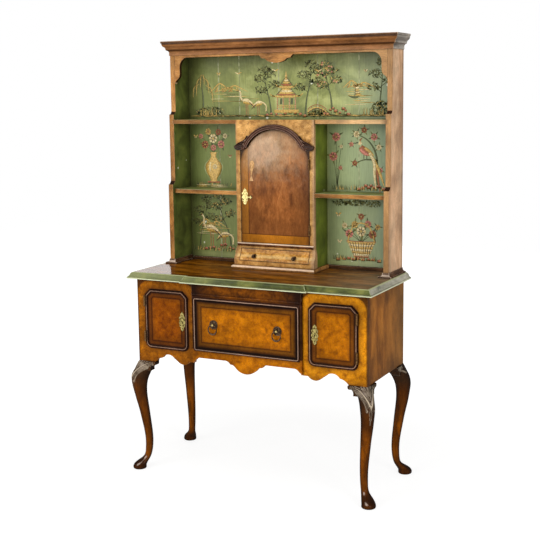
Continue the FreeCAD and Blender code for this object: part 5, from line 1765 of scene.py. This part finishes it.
    def lay(self, name: str, body: str, slot: str = "green_paint") -> None:
        """Makes the strokes meshes on the wall, one for each paint.

        Args:
            name: Start of the pieces' names.
            body: The body that they ride on.
            slot: Their material slot, which is not used.
        """
        for layer, paint in enumerate(Paint):
            if paint not in self.strokes:
                continue
            curve = bpy.data.curves.new(name, "CURVE")
            curve.dimensions = "3D"
            curve.bevel_depth = MM
            curve.bevel_resolution = 1
            curve.resolution_u = 3
            curve.use_fill_caps = True
            for dabs in self.strokes[paint]:
                line = curve.splines.new("NURBS")
                line.points.add(len(dabs) - 1)
                for point, (x, z, width) in zip(line.points, dabs):
                    point.co = (x * MM, 0, z * MM, 1)
                    point.radius = width
                line.order_u = min(3, len(dabs))
                line.use_endpoint_u = True
            shape = bpy.data.objects.new("%s_%s" % (name, paint.value.name), curve)
            bpy.context.scene.collection.objects.link(shape)
            take(shape)
            bpy.ops.object.convert(target="MESH")
            shape = bpy.context.object
            places = read_points(shape)
            front = places[:, 1] < -0.02 * MM
            places[:, 1] = self.wall + np.where(front, -(0.1 + 0.07 * layer) * MM, 0.12 * MM)
            write_points(shape, places)
            shape.data.name = shape.name
            shape.data.materials.clear()
            shape.data.materials.append(material_of(paint.value))
            seat(shape, body, slot)


@dataclass
class PaintedScenes:
    """Garden scenes painted on the back: trees, hills, birds, a pavilion, flowers."""

    seed: int = 11  # start of each bay's random numbers
    ground: float = 1586.0  # height of the top bay's ground in millimetres

    def build(self) -> None:
        """Paints the five bays and the small pale mark on the cupboard door."""
        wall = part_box("hutch_back_planks")[0].y
        for name, bay in (("top", self.top_bay), ("left_middle", self.left_middle_bay),
                          ("right_middle", self.right_middle_bay),
                          ("left_lower", self.left_lower_bay),
                          ("right_lower", self.right_lower_bay)):
            motif = Motif(wall, random.Random(self.seed))
            bay(motif)
            motif.lay(name + "_scene", "root")
        mark = Motif(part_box("cupboard_door")[0].y, random.Random(self.seed))
        mark.draw((-112, 1300), (
            (INLAY, (-1, 92, 4), (2, 84, 12), (0, 66, 11), (-2, 44, 3), (-3, 26, 1.6)),
            (INLAY, (-3, 24, 1.8), (-3, 15, 5), (-3, 2, 8))))
        mark.lay("door_mark", "cupboard_door", "burr_walnut")

    def top_bay(self, m: Motif) -> None:
        """A lake garden: willow, hills, cranes, pavilion, bridge, blossom tree and boat.

        Args:
            m: The bay's strokes.
        """
        ground = self.ground
        for x in range(-480, 480, 24):
            for paint, lift in ((OLIVE, 3), (DARK, -4), (GOLD, 0)):
                m.stroke(paint, (x + m.chance.uniform(-8, 8), ground + lift), (-22, 0, 0.6),
                         (0, m.chance.uniform(-3, 5), 2.2), (24, 1, 0.6))
        m.willow((-440, ground), 196)
        for spot, reach in (((-400, ground + 20), (78, 22)), ((450, ground + 30), (50, 34)),
                            ((150, ground + 10), (50, 12))):
            m.scatter(DARK, spot, reach, 80, 3.6)
            m.scatter(OLIVE, spot, reach, 50, 3.0)
            m.scatter(GOLD, spot, reach, 14, 1.6)
        m.grass((-420, ground), 120, 30, 40)
        m.hills((-300, 1694), 200, 46)
        m.water((-285, 1686), 240, 4, 11)
        m.crane((-214, ground + 4), 1.3, 1)
        m.crane((-142, ground + 2), 1.15, -1, True)
        m.tree((86, ground + 6), 206, 30)
        m.tree((-84, ground + 6), 190, -34)
        m.rocks((-10, ground), 190, 18)
        m.pavilion((-8, ground + 12), 1.32)
        m.bridge((96, ground + 12), 92)
        m.rocks((236, ground), 120, 46)
        m.tree((214, ground + 30), 176, -30, GOLD, PINK)
        m.grass((236, ground), 130, 24)
        m.hills((342, 1706), 150, 34)
        m.water((336, 1698), 150, 4)
        m.draw((322, 1668), BOAT, 1.2)
        m.water((336, 1658), 140, 4, 8)
        m.tree((436, ground), 214, 14)
        m.grass((420, ground), 130, 36, 40)
        for spot, flip in (((-60, 1786), 1), ((150, 1780), -1), ((-250, 1776), 1)):
            m.draw(spot, ((CREAM, (-17, 7, 0.6), (-6, 4, 2.4), (0, 0, 2.6)),
                          (GOLD, (0, 0, 2.6), (7, 6, 2.2), (19, 6, 0.5))), flip=flip)
        m.butterfly((-352, 1776), 9, GOLD)
        m.butterfly((372, 1776), 8, CREAM)

    def flowers(self, m: Motif, spot: Point, foot: float,
                blooms: Sequence[tuple[float, float, float, Paint]]) -> None:
        """Paints flowers on stems with leaves.

        Args:
            m: The bay's strokes.
            spot: Where the stems start from.
            foot: Height over it at which they part.
            blooms: Place from there, radius and paint of each flower.
        """
        for i, (dx, dz, size, paint) in enumerate(blooms):
            m.stroke(DARK, spot, (0, foot, 1.6), (0.3 * dx, 0.5 * (foot + dz), 1.3), (dx, dz, 0.9))
            flower = (spot[0] + dx, spot[1] + dz)
            for turn in (150, 30, 260):
                m.leaf(flower, turn + 17 * i, 1.6 * size, OLIVE if i % 2 else DARK)
            m.bloom(flower, size, paint, RUST if paint is GOLD else GOLD)

    def left_middle_bay(self, m: Motif) -> None:
        """A tall vase of flowers.

        Args:
            m: The bay's strokes.
        """
        m.grass((-390, 1262), 190, 40, 22)
        m.water((-390, 1266), 200, 3, 4)
        self.flowers(m, (-388, 1268), 148, (
            (0, 214, 26, CREAM), (-44, 186, 22, RUST), (42, 188, 22, PINK), (-26, 246, 18, GOLD),
            (28, 244, 18, RUST), (-66, 224, 14, PINK), (64, 226, 14, CREAM), (0, 172, 17, PINK)))
        x, z, scale = -388, 1266, 1.35
        m.draw((x, z), VASE, scale)
        flower = (x + 5 * scale, z + 63 * scale)
        m.bloom(flower, 11 * scale, CREAM, RUST)
        for angle in (200, 250, 320, 20):
            m.leaf(flower, angle, 17 * scale, OLIVE)
        m.butterfly((-482, 1490), 10, GOLD)
        m.butterfly((-300, 1400), 9, RUST)

    def right_middle_bay(self, m: Motif) -> None:
        """A rose branch, and a long-tailed bird on a branch of blossom.

        Args:
            m: The bay's strokes.
        """
        m.grass((330, 1262), 240, 60, 26)
        m.rocks((400, 1264), 110, 30)
        self.flowers(m, (238, 1262), 10, (
            (-4, 232, 24, PINK), (-18, 146, 24, PINK), (20, 190, 10, CREAM), (16, 96, 11, PINK)))
        m.stroke(DARK, (436, 1270), (0, 0, 7), (-14, 60, 5.4), (-8, 130, 4.4), (-30, 190, 3.4),
                 (-80, 232, 2), (-130, 238, 1))
        m.stroke(DARK, (428, 1392), (0, 0, 4), (-30, 6, 3.2), (-76, 2, 2.4), (-110, -14, 1))
        for x, z, size, paint in (
                (330, 1506, 17, CREAM), (366, 1524, 16, RUST), (412, 1494, 19, PINK),
                (434, 1450, 15, CREAM), (322, 1380, 15, RUST), (440, 1350, 15, PINK),
                (306, 1462, 12, PINK)):
            for turn in range(0, 360, 72):
                m.leaf((x, z), turn + z, 1.6 * size, OLIVE if turn % 144 else DARK)
            m.bloom((x, z), size, paint, GOLD)
        m.draw((372, 1402), BIRD, 1.9)

    def left_lower_bay(self, m: Motif) -> None:
        """Cranes under a tree on a rocky bank.

        Args:
            m: The bay's strokes.
        """
        m.rocks((-350, 958), 170, 30)
        m.grass((-390, 954), 230, 50, 30)
        m.tree((-300, 970), 236, -64, GOLD)
        m.tree((-470, 960), 224, 40)
        m.hills((-400, 1068), 150, 40)
        m.water((-400, 1062), 190, 4)
        m.crane((-414, 976), 1.75, 1)
        m.crane((-330, 966), 1.4, -1, True)

    def right_lower_bay(self, m: Motif) -> None:
        """A basket of flowers under hanging leaves.

        Args:
            m: The bay's strokes.
        """
        m.grass((330, 950), 230, 60, 26)
        m.rocks((340, 950), 190, 14)
        for x in (260, 330, 400):
            m.scatter(DARK, (x, 1206), (44, 14), 36, 3.2)
            m.scatter(OLIVE, (x, 1204), (42, 13), 20, 2.6)
        self.flowers(m, (352, 968), 60, (
            (-56, 100, 23, PINK), (0, 112, 27, CREAM), (54, 100, 23, RUST), (-30, 142, 19, GOLD),
            (32, 146, 19, PINK), (-78, 136, 15, CREAM), (78, 134, 15, GOLD), (0, 178, 17, RUST)))
        m.draw((352, 968), BASKET, 1.5)
        m.butterfly((244, 1150), 12, GOLD)
        m.butterfly((250, 1030), 10, CREAM)


@dataclass
class PlainParts:
    """Pieces of the frame that keep their own shape and only get a finish."""

    nodes: tuple[tuple[AnyFinish, str], ...] = (
        (OAK, "base_back base_bottom drawer_box drawer_bottom hutch_top small_drawer_box"),
        (SHADED_OAK, "partitions drawer_runners"),
        (STEEL, "right_door_lock left_door_lock cupboard_lock right_door_bolt left_door_bolt "
                "cupboard_bolt fixing_plates fixing_screws"),
        (HINGE_BRASS, "right_door_leaves left_door_leaves frame_leaves_and_pins "
                      "cupboard_door_leaves"),
        (BROWN_BRASS, "small_drawer_knobs"), (BRIGHT_BRASS, "cupboard_key"))

    def build(self) -> None:
        """Gives each node its finish."""
        for finish, names in self.nodes:
            for node in names.split():
                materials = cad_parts[node].data.materials
                materials.clear()
                materials.append(material_of(finish))
                LOG.info("%s keeps its shape", node)


@dataclass
class Studio:
    """Floor, surroundings, lamps and the camera of the photograph."""

    focal: float = 1049.84  # focal length in pixels of the photograph
    picture: float = 540.0  # width of the photograph in pixels
    optical_centre: Point = (267.03, 254.39)  # where its optical axis meets it, in pixels
    sensor: float = 36.0  # width of the camera's sensor in millimetres
    eye: tuple[float, float, float] = (2.05548, -4.06065, 1.67474)
    ahead: tuple[float, float, float] = (-0.4473029, 0.88186142, -0.14913263)
    rightward: tuple[float, float, float] = (0.89259918, 0.45068596, -0.01220153)
    upward: tuple[float, float, float] = (-0.05645192, 0.13857344, 0.98874192)
    # name, place, size in metres and power in watts
    lamps: tuple[tuple[str, tuple[float, float, float], float, float], ...] = (
        ("front_lamp", (-1.9, -3.9, 2.0), 2.4, 88.0), ("right_lamp", (3.4, -2.4, 1.5), 1.2, 54.0),
        ("window_lamp", (-3.0, 4.1, 1.7), 1.2, 22.0), ("top_lamp", (0.4, -1.4, 4.2), 2.0, 30.0))

    def build(self) -> None:
        """Builds the studio."""
        self.build_camera()
        self.build_floor()
        self.build_world()
        self.build_lights()

    def build_camera(self) -> None:
        """Camera at the photograph's place."""
        data = bpy.data.cameras.new("camera")
        data.sensor_width = self.sensor
        data.lens = self.focal * self.sensor / self.picture
        data.shift_x = 0.5 - self.optical_centre[0] / self.picture
        data.shift_y = self.optical_centre[1] / self.picture - 0.5
        camera = bpy.data.objects.new("camera", data)
        bpy.context.scene.collection.objects.link(camera)
        columns = [self.rightward, self.upward, tuple(-one for one in self.ahead), self.eye]
        camera.matrix_world = Matrix([*zip(*columns), (0, 0, 0, 1)])
        bpy.context.scene.camera = camera

    def seen(self, add: Add) -> Node:
        """One where the camera or a shiny or clear surface sees a point, and zero elsewhere.

        Args:
            add: Adds a node to the tree.

        Returns:
            The node that tells it.
        """
        path = add("LightPath").outputs
        shiny = add("Math:MAXIMUM", path["Is Camera Ray"], path["Is Glossy Ray"])
        return add("Math:MAXIMUM", shiny, path["Is Transmission Ray"])

    def build_floor(self) -> None:
        """Pale floor that keeps the dresser's shadow."""
        floor = primitive("studio_floor", bpy.ops.mesh.primitive_plane_add, size=14,
                          location=(0, 0, -0.5 * MM))
        material = bpy.data.materials.new("pale_floor")
        add = new_tree(material)
        spot = add("TexCoord").outputs["Object"]
        plain = add("BsdfDiffuse", "#e8e8e6")
        bright = add("Emission", "#ffffff", 1.18)
        away = add("VectorMath:LENGTH", spot).outputs["Value"]
        share = add("MapRange", away, 0.7, 2.2, 0.7, 1.0, interpolation_type="SMOOTHSTEP")
        lit = add("MixShader", share, plain, bright)
        add("OutputMaterial", add("MixShader", self.seen(add), plain, lit))
        floor.data.materials.append(material)

    def build_world(self) -> None:
        """Even white surroundings: the background and what shines in polish and brass."""
        world = bpy.data.worlds.new("surroundings")
        bpy.context.scene.world = world
        add = new_tree(world)
        strength = add("MapRange", self.seen(add), 0.0, 1.0, 0.5, 1.0)
        add("OutputWorld", add("Background", "#ffffff", strength))

    def build_lights(self) -> None:
        """Soft lamps: the key in front to the left, one right, one above, a weak one behind."""
        for name, place, size, power in self.lamps:
            data = bpy.data.lights.new(name, "AREA")
            data.size = size
            data.energy = power
            lamp = bpy.data.objects.new(name, data)
            bpy.context.scene.collection.objects.link(lamp)
            lamp.location = place
            aim = Vector((0, 0, 1.0)) - Vector(place)
            lamp.rotation_euler = aim.to_track_quat("-Z", "Y").to_euler()


def main() -> None:
    """Builds the dresser's looks piece by piece."""
    logging.basicConfig(level=logging.INFO, format="%(name)s: %(message)s")
    bpy.context.scene.view_settings.view_transform = "Standard"
    for part in (Studio, Base, Hutch, Cupboard, PaintedScenes, PlainParts):
        part().build()
    clear_selection()


if __name__ == "__main__":
    main()
